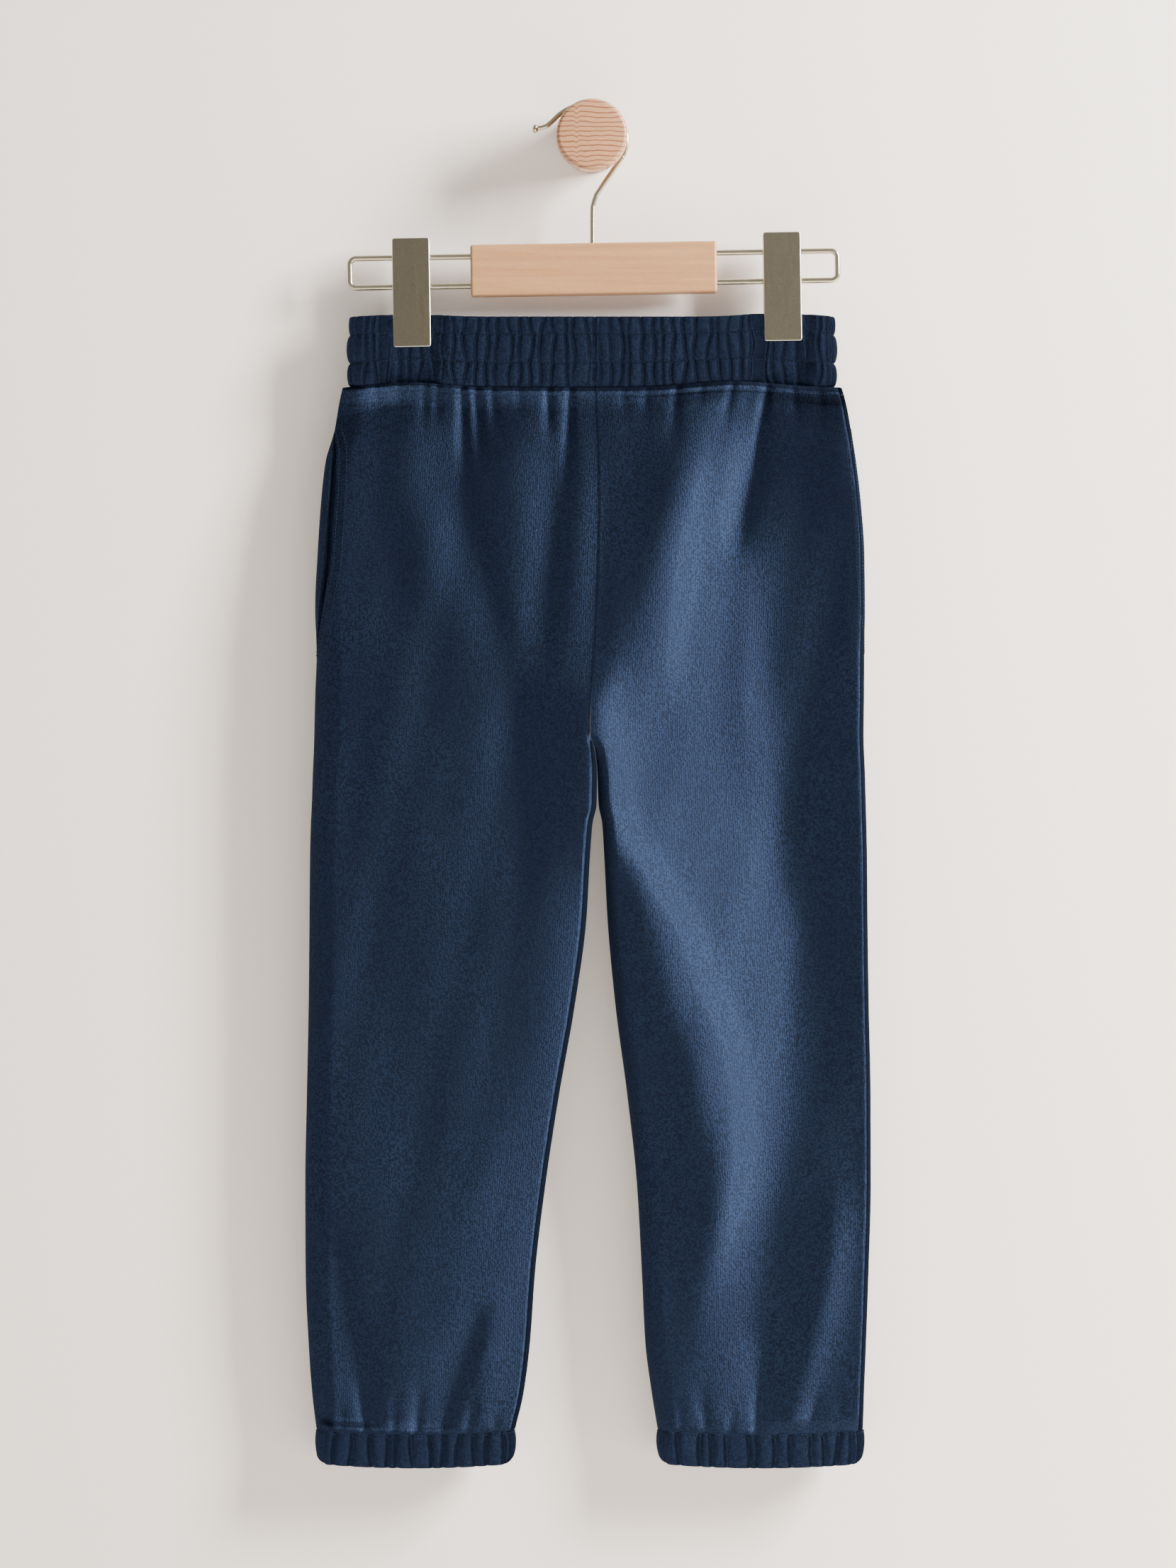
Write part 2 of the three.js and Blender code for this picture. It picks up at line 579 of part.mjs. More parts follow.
// The middle line of a bent wire, one step from each of its points to the next
class WireRoute extends THREE.Curve {
  constructor(points) {
    super();
    this.points = points;
  }

  getPoint(share) {
    const place = clamp(share, 0, 1) * (this.points.length - 1);
    const from = Math.min(Math.floor(place), this.points.length - 2);
    return this.points[from].clone().lerp(this.points[from + 1], place - from);
  }

  getPointAt(share) {
    return this.getPoint(share);
  }

  getTangentAt(share) {
    const half = 0.5 / (this.points.length - 1);
    return this.getPoint(share + half).sub(this.getPoint(share - half)).normalize();
  }
}

function wire(points, radius, sides) {
  const section = new THREE.Shape(Array.from({ length: sides }, (_, side) => {
    const angle = (2 * Math.PI * side) / sides;
    return new THREE.Vector2(radius * Math.cos(angle), radius * Math.sin(angle));
  }));
  return new THREE.ExtrudeGeometry(section, { steps: points.length - 1, extrudePath: new WireRoute(points) });
}

// Points of an arc in the upright plane of the hanger
function arcPoints(x, z, radius, startDegrees, endDegrees, steps) {
  return Array.from({ length: steps + 1 }, (_, step) => {
    const angle = degrees(lerp(startDegrees, endDegrees, step / steps));
    return new THREE.Vector3(x + radius * Math.cos(angle), 0, z + radius * Math.sin(angle));
  });
}

function roundedPlate(width, height, thickness, cornerRound, edgeRound) {
  const w = width / 2 - edgeRound;
  const h = height / 2 - edgeRound;
  const shape = new THREE.Shape();
  shape.moveTo(-w + cornerRound, -h);
  shape.absarc(w - cornerRound, -h + cornerRound, cornerRound, -Math.PI / 2, 0, false);
  shape.absarc(w - cornerRound, h - cornerRound, cornerRound, 0, Math.PI / 2, false);
  shape.absarc(-w + cornerRound, h - cornerRound, cornerRound, Math.PI / 2, Math.PI, false);
  shape.absarc(-w + cornerRound, -h + cornerRound, cornerRound, Math.PI, 1.5 * Math.PI, false);
  const plate = new THREE.ExtrudeGeometry(shape, {
    depth: thickness - 2 * edgeRound,
    bevelSize: edgeRound,
    bevelThickness: edgeRound,
    bevelSegments: 1,
    curveSegments: 1,
  });
  plate.translate(0, 0, -thickness / 2 + edgeRound);
  return plate.rotateX(Math.PI / 2);
}

function hangerBar() {
  const { length, height, thickness, cornerRound, edgeRound } = BAR;
  let bar = toManifold(roundedPlate(length, height, thickness, cornerRound, edgeRound));
  const socket = (radius, depth) => new THREE.CylinderGeometry(radius, radius, 2 * depth, 12);
  for (const end of [-1, 1]) {
    for (const level of [-1, 1]) {
      const bore = socket(WIRE.radius + GAP, WIRE.socketDepth + GAP).rotateZ(Math.PI / 2);
      bore.translate((end * length) / 2, 0, level * WIRE.halfSpacing);
      bar = bar.subtract(toManifold(bore));
    }
  }
  const stemDepth = HANGER.z + height / 2 - HOOK.stemBottom + GAP;
  const stemBore = socket(HOOK.wireRadius + 1.5 * GAP, stemDepth).rotateX(Math.PI / 2);
  stemBore.translate(HOOK.stemX - HANGER.x, 0, height / 2);
  return fromManifold(bar.subtract(toManifold(stemBore)));
}

// One end of the wire loop: two straight wires from the bar, joined by two bends
function wireLoop(side) {
  const out = side === 'left' ? -1 : 1;
  const { halfSpacing, halfLength, bendRadius, socketDepth } = WIRE;
  const start = BAR.length / 2 - socketDepth;
  const bendX = halfLength - bendRadius;
  const bendZ = halfSpacing - bendRadius;
  const points = [
    new THREE.Vector3(start, 0, halfSpacing),
    ...arcPoints(bendX, bendZ, bendRadius, 90, 0, 4),
    ...arcPoints(bendX, -bendZ, bendRadius, 0, -90, 4),
    new THREE.Vector3(start, 0, -halfSpacing),
  ];
  if (out < 0) points.reverse();
  return wire(points.map((point) => point.setX(out * point.x)), WIRE.radius, 8);
}

function clipPieces(side) {
  const x = CLIP_PLACES[side];
  const metal = material(COLOURS.brassSteel, 0.38, 0.9);
  const away = CLIP_HALF_GAP + CLIP.thickness / 2;
  const plates = [['front_plate', -1], ['back_plate', 1]].map(([part, face]) => {
    const { width, height, thickness, cornerRound, edgeRound } = CLIP;
    const form = roundedPlate(width, height, thickness, cornerRound, edgeRound);
    const plate = named(`clip_${side}_${part}`, form, metal);
    plate.position.set(x, face * away, CLIP.z);
    return plate;
  });
  const coil = new THREE.CylinderGeometry(SPRING.radius, SPRING.radius, SPRING.length, SPRING.sides);
  const spring = named(`clip_${side}_spring`, coil.rotateZ(Math.PI / 2), material(COLOURS.zincWire, 0.3, 1));
  spring.position.set(x, 0, -WIRE.halfSpacing + WIRE.radius + GAP + SPRING.radius);
  return [...plates, spring];
}

// The hook: a stem from the bar, a slanted stretch, an arc over the knob's neck and a turned-out end
function hangerHook() {
  const { stemX, stemBottom, cornerZ, cornerRound, arcX, arcZ, arcRadius } = HOOK;
  const arc = arcPoints(arcX, arcZ, arcRadius, HOOK.arcStartDegrees, HOOK.arcEndDegrees, HOOK.arcSteps);
  const slant = arc[0].clone().sub(new THREE.Vector3(stemX, 0, cornerZ)).normalize();
  const corner = [-1, -0.4, 0.4, 1].map((way) => {
    const reach = Math.abs(way) * cornerRound;
    const soften = (1 - Math.abs(way)) * 0.25 * cornerRound;
    const along = way < 0 ? new THREE.Vector3(0, 0, -reach) : slant.clone().multiplyScalar(reach);
    return along.add(new THREE.Vector3(stemX + soften * 0.5, 0, cornerZ));
  });
  const tail = HOOK_TAIL.map(({ x, z }) => new THREE.Vector3(x, 0, z));
  const route = [new THREE.Vector3(stemX, 0, stemBottom), ...corner, ...arc, ...tail];
  const { endBall } = HOOK;
  const ball = new THREE.SphereGeometry(endBall.halfHeight, 12, 8);
  ball.scale(endBall.halfWidth / endBall.halfHeight, 1, 1).translate(endBall.x, 0, endBall.z);
  const whole = toManifold(wire(route, HOOK.wireRadius, 8)).add(toManifold(ball));
  return fromManifold(whole).translate(0, GARMENT_Y, 0);
}

// The knob's profile from the middle of its face round to the middle of its back
function wallKnob() {
  const { neckRadius, headRadius, neckLength, length, edgeRound } = KNOB;
  const profile = [[0, -length - 0.4], [headRadius * 0.6, -length - 0.2]];
  for (const angle of [0, 30, 60, 90]) {
    const sine = Math.sin(degrees(angle));
    const cosine = Math.cos(degrees(angle));
    profile.push([headRadius - edgeRound * (1 - sine), -length + edgeRound * (1 - cosine)]);
  }
  profile.push([headRadius, -neckLength - 1], [headRadius - 1, -neckLength]);
  profile.push([neckRadius, -neckLength], [neckRadius, 0], [0, 0]);
  return new THREE.LatheGeometry(profile.map(([radius, y]) => new THREE.Vector2(radius, y)), KNOB.segments);
}

// The whole object
const sweatpants = new THREE.Group();
const fleece = () => material(COLOURS.navyFleece, 0.95);

sweatpants.add(named('waistband', waistband(), fleece()));
for (const side of ['left', 'right']) {
  sweatpants.add(named(`back_panel_${side}`, panel(side, -1), fleece()));
  sweatpants.add(named(`front_panel_${side}`, panel(side, 1), fleece()));
  sweatpants.add(named(`pocket_facing_${side}`, pocketFacing(side), fleece()));
  sweatpants.add(named(`hem_${side}`, hem(side), fleece()));
}

const hanger = new THREE.Group();
hanger.position.set(HANGER.x, GARMENT_Y, HANGER.z);
hanger.rotation.y = -degrees(HANGER.tiltDegrees);
hanger.add(named('hanger_bar', hangerBar(), material(COLOURS.beech, 0.6)));
for (const side of ['left', 'right']) {
  hanger.add(named(`wire_loop_${side}`, wireLoop(side), material(COLOURS.zincWire, 0.25, 1)));
  hanger.add(...clipPieces(side));
}
sweatpants.add(hanger);
sweatpants.add(named('hanger_hook', hangerHook(), material(COLOURS.zincWire, 0.25, 1)));
sweatpants.add(named('wall_knob', wallKnob(), material(COLOURS.knobBeech, 0.6)));

export default sweatpants;
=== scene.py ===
"""Child's fleece jogger sweatpants, back outward, on a two-clip hanger and a round wooden wall knob.

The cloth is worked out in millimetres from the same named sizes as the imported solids, and turned to metres
where its meshes are made. The wall is the plane y = 0, z is up, and the viewer stands on the side of
negative y, so left is the viewer's left.
"""

import logging
import math
from dataclasses import dataclass
from enum import Enum
from typing import NamedTuple, Sequence

import bmesh
import bpy
import numpy as np
from mathutils import Matrix

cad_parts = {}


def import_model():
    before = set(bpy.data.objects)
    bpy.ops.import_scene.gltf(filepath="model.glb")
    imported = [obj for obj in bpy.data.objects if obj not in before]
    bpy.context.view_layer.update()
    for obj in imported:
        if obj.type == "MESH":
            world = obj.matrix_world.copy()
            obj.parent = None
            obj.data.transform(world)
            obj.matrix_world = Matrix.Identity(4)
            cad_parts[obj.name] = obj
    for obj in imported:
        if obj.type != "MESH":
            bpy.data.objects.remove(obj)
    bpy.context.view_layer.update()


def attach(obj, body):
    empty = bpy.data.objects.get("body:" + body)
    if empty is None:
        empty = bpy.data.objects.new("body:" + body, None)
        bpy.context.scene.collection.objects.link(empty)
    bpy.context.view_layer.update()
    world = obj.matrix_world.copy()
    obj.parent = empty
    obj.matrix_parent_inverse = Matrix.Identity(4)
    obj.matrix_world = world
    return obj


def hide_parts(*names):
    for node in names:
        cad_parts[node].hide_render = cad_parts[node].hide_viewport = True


MM = 0.001
BODY = "root"
CLOTH_UV = "cloth"
GAP = 0.3
GARMENT_Y = -20.0
FLEECE = 2.0
logger = logging.getLogger("joggers")


class Side(Enum):
    """A leg of the garment, by the viewer's left and right."""

    LEFT = "left"
    RIGHT = "right"

    @property
    def inward(self) -> int:
        """Direction in x from the side seam to the middle."""
        return 1 if self is Side.LEFT else -1


class Half(Enum):
    """The back of the garment faces the viewer, and its front the wall."""

    BACK = -1
    FRONT = 1


# Small helpers of form


def smooth(share: np.ndarray) -> np.ndarray:
    """An eased step from 0 to 1."""
    held = np.clip(share, 0.0, 1.0)
    return held * held * (3.0 - 2.0 * held)


def lerp(first: np.ndarray, last: np.ndarray, share: np.ndarray) -> np.ndarray:
    """A value a share of the way from the first to the last."""
    return first + (last - first) * share


def bell(distance: np.ndarray, width: np.ndarray) -> np.ndarray:
    """A soft bump that is 1 at no distance."""
    return np.exp(-((distance / width) ** 2))


class SmoothLine:
    """A line through measured points that bends smoothly and never swings past them."""

    def __init__(self, places: Sequence[float], values: Sequence[float]) -> None:
        """Sets the line up.

        Args:
            places: where each value holds, in any order.
            values: the values.
        """
        order = np.argsort(places)
        self.places = np.asarray(places, float)[order]
        self.values = np.asarray(values, float)[order]
        gaps = np.diff(self.places)
        rises = np.diff(self.values) / gaps
        self.slopes = np.empty_like(self.values)
        self.slopes[0] = rises[0]
        self.slopes[-1] = rises[-1]
        before = rises[:-1]
        after = rises[1:]
        onward = before * after > 0
        pull_before = 2 * gaps[1:] + gaps[:-1]
        pull_after = gaps[1:] + 2 * gaps[:-1]
        share_before = pull_before / np.where(onward, before, 1.0)
        share_after = pull_after / np.where(onward, after, 1.0)
        mean = (pull_before + pull_after) / (share_before + share_after)
        self.slopes[1:-1] = np.where(onward, mean, 0.0)

    def at(self, place: np.ndarray) -> np.ndarray:
        """The line's value at each place, held level past its ends."""
        held = np.clip(place, self.places[0], self.places[-1])
        piece = np.clip(np.searchsorted(self.places, held, side="right") - 1, 0, len(self.places) - 2)
        gap = self.places[piece + 1] - self.places[piece]
        t = (held - self.places[piece]) / gap
        start = self.values[piece] * (2 * t**3 - 3 * t**2 + 1)
        leaving = self.slopes[piece] * gap * (t**3 - 2 * t**2 + t)
        end = self.values[piece + 1] * (3 * t**2 - 2 * t**3)
        reaching = self.slopes[piece + 1] * gap * (t**3 - t**2)
        return start + leaving + end + reaching


@dataclass(frozen=True)
class Fold:
    """A soft ridge or trough along a crest line.

    A negative height is a trough. Rise and fall are the shares of its length over which it comes in and
    fades, and a skew above 0 makes its right side the gentler one.
    """

    width: float
    height: float
    rise: float
    fall: float
    path: tuple[tuple[float, float], ...]
    skew: float = 0.0

    def relief(self, x: np.ndarray, z: np.ndarray) -> np.ndarray:
        """How far this fold lifts the cloth at each place."""
        top = self.path[0][1]
        bottom = self.path[-1][1]
        along = (top - z) / (top - bottom)
        strength = smooth(along / self.rise) * smooth((1 - along) / self.fall)
        crest = SmoothLine([place[1] for place in self.path], [place[0] for place in self.path])
        away = x - crest.at(z)
        width = self.width * np.where(away > 0, 1 + self.skew, 1 - self.skew)
        return self.height * strength * bell(away, width)


class Section(NamedTuple):
    """One level of the body and legs: x of the edges, and half depths from the middle plane."""

    z: float
    left_side: float
    left_inner: float
    right_inner: float
    right_side: float
    back: float
    front: float


SECTIONS = (
    Section(-141, -140.8, 2.7, 2.7, 141.0, 8.6, 7.6),
    Section(-150, -142.8, 3.1, 3.1, 143.4, 9.6, 8.2),
    Section(-166, -145.6, 3.9, 3.9, 146.3, 11.6, 9.6),
    Section(-182, -150.2, 4.4, 4.4, 148.9, 13.2, 10.7),
    Section(-205, -152.9, 4.6, 4.6, 151.6, 14.8, 11.8),
    Section(-235, -154.9, 4.2, 4.2, 153.7, 16.2, 12.8),
    Section(-265, -156.2, 3.1, 3.1, 154.0, 17.0, 13.4),
    Section(-290, -155.4, 1.8, 1.8, 153.6, 17.2, 13.6),
    Section(-315, -156.3, -0.4, -0.4, 153.5, 16.8, 13.6),
    Section(-337, -156.8, -0.8, -0.8, 153.2, 16.2, 13.4),
    Section(-344, -157.0, 1.4, 1.4, 153.4, 16.0, 13.2),
    Section(-358, -157.6, 3.0, 3.0, 154.0, 15.6, 13.0),
    Section(-376, -158.2, 2.8, 3.6, 154.5, 15.0, 12.8),
    Section(-386, -158.7, 0.6, 5.6, 154.8, 14.8, 12.8),
    Section(-405, -159.2, -0.9, 6.8, 155.2, 14.4, 12.6),
    Section(-440, -159.5, -2.9, 8.6, 155.5, 13.8, 12.4),
    Section(-490, -160.0, -9.6, 13.2, 156.2, 13.2, 12.0),
    Section(-540, -161.0, -18.4, 19.8, 157.2, 12.6, 11.4),
    Section(-590, -161.9, -26.0, 25.2, 157.3, 12.0, 10.8),
    Section(-640, -161.7, -31.9, 28.0, 156.0, 11.2, 10.2),
    Section(-680, -160.0, -34.8, 30.0, 154.6, 10.6, 9.6),
    Section(-708, -158.0, -38.4, 33.6, 153.5, 10.0, 9.2),
    Section(-727.7, -155.6, -43.0, 36.8, 152.9, 9.4, 8.8),
)

# The pocket mouth: how far the back panel's edge is set in from the side, by height
POCKET_LEVELS = (-166, -182, -205, -235, -265, -290)
POCKET_SETBACK = {
    Side.LEFT: (0.0, 6.2, 8.2, 8.4, 4.8, 0.0),
    Side.RIGHT: (0.0, 1.2, 1.6, 1.6, 1.2, 0.0),
}

# How far in from its edge the cloth is round: at the side seam, and at the crotch and hem of the inner leg
SIDE_ROUND = {Side.LEFT: 14.0, Side.RIGHT: 3.5}
INNER_ROUND = {Side.LEFT: (3.0, 3.0), Side.RIGHT: (6.0, 11.0)}


class Lean(NamedTuple):
    """One level of the back's broad form, from its crest down to a foot on the right and up past it.

    Crest and foot are x places, lift is the height at the crest, and rise, fall and beyond are how
    steep the cloth is up to the crest, down to the foot and past the foot.
    """

    z: float
    crest: float
    foot: float
    lift: float
    rise: float
    fall: float
    beyond: float


SEAT_LEANS = (
    Lean(-141, 64, 92, 1.0, 0.045, 0.020, 0.080),
    Lean(-166, 57, 90, 2.0, 0.045, 0.030, 0.085),
    Lean(-182, 50, 92, 2.6, 0.048, 0.040, 0.085),
    Lean(-202, 45, 88, 3.2, 0.050, 0.060, 0.075),
    Lean(-226, 37, 88, 3.8, 0.050, 0.085, 0.065),
    Lean(-250, 30, 92, 4.3, 0.050, 0.085, 0.060),
    Lean(-274, 22, 94, 4.6, 0.050, 0.078, 0.060),
    Lean(-298, 12, 97, 4.9, 0.050, 0.072, 0.065),
    Lean(-322, 5, 100, 5.2, 0.050, 0.072, 0.070),
)
LEG_LEANS = {
    Side.LEFT: (
        Lean(-354, 0, 40, 5.2, 0.048, 0.040, 0.0),
        Lean(-418, -12, 40, 4.6, 0.046, 0.030, 0.0),
        Lean(-482, -25, 40, 4.0, 0.044, 0.025, 0.0),
        Lean(-546, -43, 40, 3.4, 0.042, 0.020, 0.0),
        Lean(-578, -56, 40, 3.0, 0.042, 0.010, 0.0),
        Lean(-610, -76, 40, 2.6, 0.044, 0.008, 0.0),
        Lean(-650, -82, 40, 2.2, 0.046, 0.012, 0.0),
        Lean(-690, -66, 40, 1.6, 0.046, 0.020, 0.0),
        Lean(-728, -60, 40, 0.8, 0.040, 0.020, 0.0),
    ),
    Side.RIGHT: (
        Lean(-354, 4, 102, 5.4, 0.052, 0.076, 0.080),
        Lean(-386, 8, 104, 5.4, 0.050, 0.080, 0.085),
        Lean(-418, 24, 108, 5.2, 0.050, 0.084, 0.085),
        Lean(-450, 36, 113, 5.0, 0.050, 0.088, 0.085),
        Lean(-482, 43, 112, 4.8, 0.052, 0.090, 0.085),
        Lean(-514, 54, 111, 4.4, 0.055, 0.090, 0.085),
        Lean(-546, 63, 109, 4.0, 0.055, 0.088, 0.080),
        Lean(-578, 70, 104, 3.6, 0.065, 0.090, 0.075),
        Lean(-610, 72, 98, 3.0, 0.060, 0.070, 0.075),
        Lean(-642, 68, 92, 2.2, 0.050, 0.045, 0.070),
        Lean(-690, 56, 84, 1.4, 0.050, 0.010, 0.065),
        Lean(-728, 48, 80, 0.6, 0.040, 0.000, 0.055),
    ),
}


class Leaning:
    """The broad form of the back on one side: up to a soft crest, down to a foot and up again."""

    soft = 9.0

    def __init__(self, rows: Sequence[Lean]) -> None:
        """Draws smooth lines through the rows.

        Args:
            rows: the levels, from the top.
        """
        levels = [row.z for row in rows]
        self.lines = {
            name: SmoothLine(levels, [getattr(row, name) for row in rows]) for name in Lean._fields[1:]
        }

    def past(self, distance: np.ndarray) -> np.ndarray:
        """The distance where it is above 0, and 0 below, with a soft turn."""
        return 0.5 * (distance + np.sqrt(distance**2 + self.soft**2))

    def relief(self, x: np.ndarray, z: np.ndarray) -> np.ndarray:
        """How far the lean lifts the cloth at each place."""
        crest, foot, lift, rise, fall, beyond = (self.lines[name].at(z) for name in Lean._fields[1:])
        left = self.past(crest - x)
        right = self.past(x - crest)
        after = self.past(x - foot)
        return lift - rise * left - fall * (right - after) + beyond * after


BACK_LEANS = {side: Leaning(SEAT_LEANS + LEG_LEANS[side]) for side in Side}

# The smaller folds on that form, with a skew where one side of the fold is steeper
BACK_FOLDS = (
    # the seat, right of the centre seam
    Fold(16, 1.2, 0.3, 0.3, ((66, -146), (54, -196), (46, -240), (40, -290), (37, -340)), -0.3),
    Fold(10, 0.4, 0.3, 0.4, ((76, -160), (71, -200), (66, -240)), -0.2),
    Fold(8, -0.9, 0.2, 0.4, ((94, -150), (90, -186), (84, -214), (78, -246)), -0.2),
    Fold(15, 0.7, 0.3, 0.3, ((98, -190), (90, -250), (88, -310), (92, -390)), 0.2),
    Fold(15, 0.6, 0.1, 0.3, ((126, -150), (146, -210), (151, -330), (153, -480), (152, -560)), -0.2),
    # the right leg
    Fold(
        19, 1.4, 0.1, 0.22,
        ((14, -290), (2, -322), (4, -354), (10, -386), (28, -418), (47, -450), (58, -482), (72, -514),
         (76, -578), (70, -610), (62, -642), (48, -682)),
        -0.35,
    ),
    Fold(10, 1.3, 0.4, 0.05, ((140, -570), (134, -620), (127, -660), (118, -695), (107, -727)), 0.2),
    Fold(9, -0.9, 0.4, 0.05, ((98, -660), (96, -700), (94, -727)), -0.3),
    # the seat, left of the centre seam
    Fold(15, 0.5, 0.15, 0.4, ((-100, -148), (-104, -185), (-98, -226), (-88, -290))),
    Fold(13, -0.6, 0.02, 0.5, ((-71, -141), (-77, -195), (-66, -236), (-52, -290), (-46, -360)), -0.2),
    Fold(13, 0.4, 0.1, 0.5, ((-38, -146), (-45, -195), (-42, -226), (-36, -262))),
    Fold(10, -0.5, 0.05, 0.4, ((-14, -141), (-20, -195), (-24, -240), (-28, -330)), -0.2),
    Fold(16, -0.8, 0.3, 0.4, ((-44, -290), (-42, -340), (-43, -400), (-50, -460)), -0.2),
    # the left leg
    Fold(11, -0.7, 0.4, 0.05, ((-148, -600), (-140, -650), (-132, -692), (-122, -727)), -0.45),
    Fold(11, -1.1, 0.4, 0.05, ((-62, -650), (-74, -694), (-88, -727)), -0.45),
)
FRONT_FOLDS = (
    Fold(14, -3.0, 0.02, 0.5, ((-96, -141), (-84, -210), (-58, -300))),
    Fold(16, 2.6, 0.15, 0.4, ((-64, -146), (-50, -220), (-22, -330))),
    Fold(14, -3.2, 0.02, 0.5, ((92, -141), (80, -215), (56, -310))),
    Fold(16, 2.8, 0.15, 0.4, ((58, -146), (46, -225), (24, -335))),
    Fold(22, 2.8, 0.3, 0.3, ((-30, -360), (-62, -480), (-92, -600), (-104, -690))),
    Fold(22, 2.8, 0.3, 0.3, ((34, -360), (62, -470), (88, -590), (100, -690))),
    Fold(16, -2.4, 0.3, 0.3, ((-126, -340), (-130, -470), (-122, -620))),
    Fold(16, -2.4, 0.3, 0.3, ((124, -350), (126, -480), (118, -630))),
)


class Pucker(NamedTuple):
    """A narrow crease that hangs from the waist seam: its x, width, depth, length and sideways run."""

    x: float
    width: float
    depth: float
    length: float
    run: float

    def sink(self, x: np.ndarray, away: np.ndarray, start: float, shift: float = 0.0) -> np.ndarray:
        """How deep the crease is at each place, before its share of strength.

        Args:
            x: place across.
            away: distance from the seam.
            start: share of its width that it has at the seam.
            shift: how far the whole crease is moved across.
        """
        along = away / self.length
        wide = self.width * (start + 0.9 * np.clip(along, 0, 1))
        return self.depth * smooth((1 - along) / 0.85) * bell(x - self.x - shift - self.run * along, wide)


BACK_PUCKERS = (
    Pucker(-122.0, 2.6, 0.6, 22, 1.0),
    Pucker(-108.5, 2.2, 0.5, 18, -1.0),
    Pucker(-94.0, 2.4, 0.9, 34, -1.5),
    Pucker(-87.0, 2.0, 1.0, 28, -1.0),
    Pucker(-73.5, 3.0, 2.0, 66, 2.0),
    Pucker(-65.5, 2.6, 1.8, 54, 3.0),
    Pucker(-56.4, 2.0, 1.0, 30, 2.0),
    Pucker(-41.0, 2.4, 0.5, 20, 0.0),
    Pucker(-25.0, 2.2, 1.7, 36, 1.0),
    Pucker(-12.4, 2.4, 1.5, 74, -3.0),
    Pucker(17.0, 2.6, 0.5, 22, 2.0),
    Pucker(31.0, 2.4, 0.6, 26, -2.0),
    Pucker(47.6, 2.8, 1.0, 40, -3.0),
    Pucker(62.0, 2.2, 0.5, 20, -3.0),
    Pucker(79.6, 2.2, 1.1, 30, -7.0),
    Pucker(98.8, 2.8, 1.9, 64, -11.0),
    Pucker(113.0, 2.2, 0.7, 26, 2.0),
    Pucker(127.0, 2.4, 0.6, 22, 3.0),
)
FRONT_PUCKERS = (
    Pucker(-118.0, 2.4, 0.8, 30, 1.0),
    Pucker(-95.0, 2.6, 1.4, 50, 2.0),
    Pucker(-82.0, 2.2, 1.0, 34, 2.0),
    Pucker(-60.0, 2.4, 0.7, 24, 0.0),
    Pucker(-44.0, 2.6, 1.3, 44, 3.0),
    Pucker(-22.0, 2.2, 0.9, 30, 0.0),
    Pucker(19.0, 2.4, 1.0, 34, 1.0),
    Pucker(36.0, 2.4, 0.6, 24, -2.0),
    Pucker(55.0, 2.6, 1.4, 52, -3.0),
    Pucker(73.0, 2.2, 0.8, 26, -2.0),
    Pucker(91.0, 2.8, 1.7, 58, -5.0),
    Pucker(116.0, 2.4, 0.8, 30, -1.0),
)

# Creases that stand up from the hem seam, in the same form
HEM_PUCKERS = (
    Pucker(-141.0, 3.0, 0.7, 26, -2.0),
    Pucker(-128.0, 2.6, 1.1, 44, -5.0),
    Pucker(-112.0, 2.8, 0.8, 30, 2.0),
    Pucker(-99.0, 3.0, 1.2, 36, 3.0),
    Pucker(-84.0, 2.6, 0.7, 22, 4.0),
    Pucker(-70.0, 2.8, 0.9, 34, 6.0),
    Pucker(-55.0, 2.6, 0.6, 20, 2.0),
    Pucker(50.0, 2.8, 0.7, 24, -2.0),
    Pucker(64.0, 2.8, 1.0, 32, -3.0),
    Pucker(78.0, 2.6, 0.7, 22, 1.0),
    Pucker(92.0, 2.6, 1.3, 42, 2.0),
    Pucker(106.0, 2.8, 1.0, 30, 6.0),
    Pucker(121.0, 2.8, 0.9, 34, 8.0),
    Pucker(139.0, 3.0, 0.7, 26, 2.0),
)


class SeamMark(NamedTuple):
    """A low ridge beside a seam, or a groove where its height is negative."""

    height: float
    away: float
    width: float


WAIST_TOPSTITCH = 4.4
WAIST_MARKS = (SeamMark(0.45, 2.6, 1.7), SeamMark(-0.5, WAIST_TOPSTITCH, 0.9), SeamMark(-1.5, 0.0, 1.1))
HEM_MARKS = (SeamMark(-1.0, 0.0, 1.1), SeamMark(0.12, 3.0, 2.0))

# Where a panel starts to wrap round the inner leg, and how quickly
CROTCH_TURNS = {Half.BACK: (-338, 0.62), Half.FRONT: (-350, 0.8)}


def seam_marks(marks: Sequence[SeamMark], away: np.ndarray) -> np.ndarray:
    """The relief beside a seam at each distance from it."""
    return sum(mark.height * bell(away - mark.away, mark.width) for mark in marks)


class Wrinkle(NamedTuple):
    """A long low wave in the cloth: its height, its length across and down, and where it starts."""

    height: float
    across: float
    down: float
    start: float


WRINKLES = (
    Wrinkle(0.07, 61.0, 330.0, 0.7),
    Wrinkle(0.05, -43.0, 190.0, 2.1),
    Wrinkle(0.03, 27.0, -120.0, 4.0),
)


def wrinkles(x: np.ndarray, z: np.ndarray) -> np.ndarray:
    """The low waves that no fold accounts for."""
    total = np.zeros_like(x)
    for wave in WRINKLES:
        total += wave.height * np.sin(2 * math.pi * (x / wave.across + z / wave.down) + wave.start)
    return total


@dataclass(frozen=True)
class Rise:
    """A place where a clip lifts an edge of the cloth."""

    x: float
    height: float
    width: float


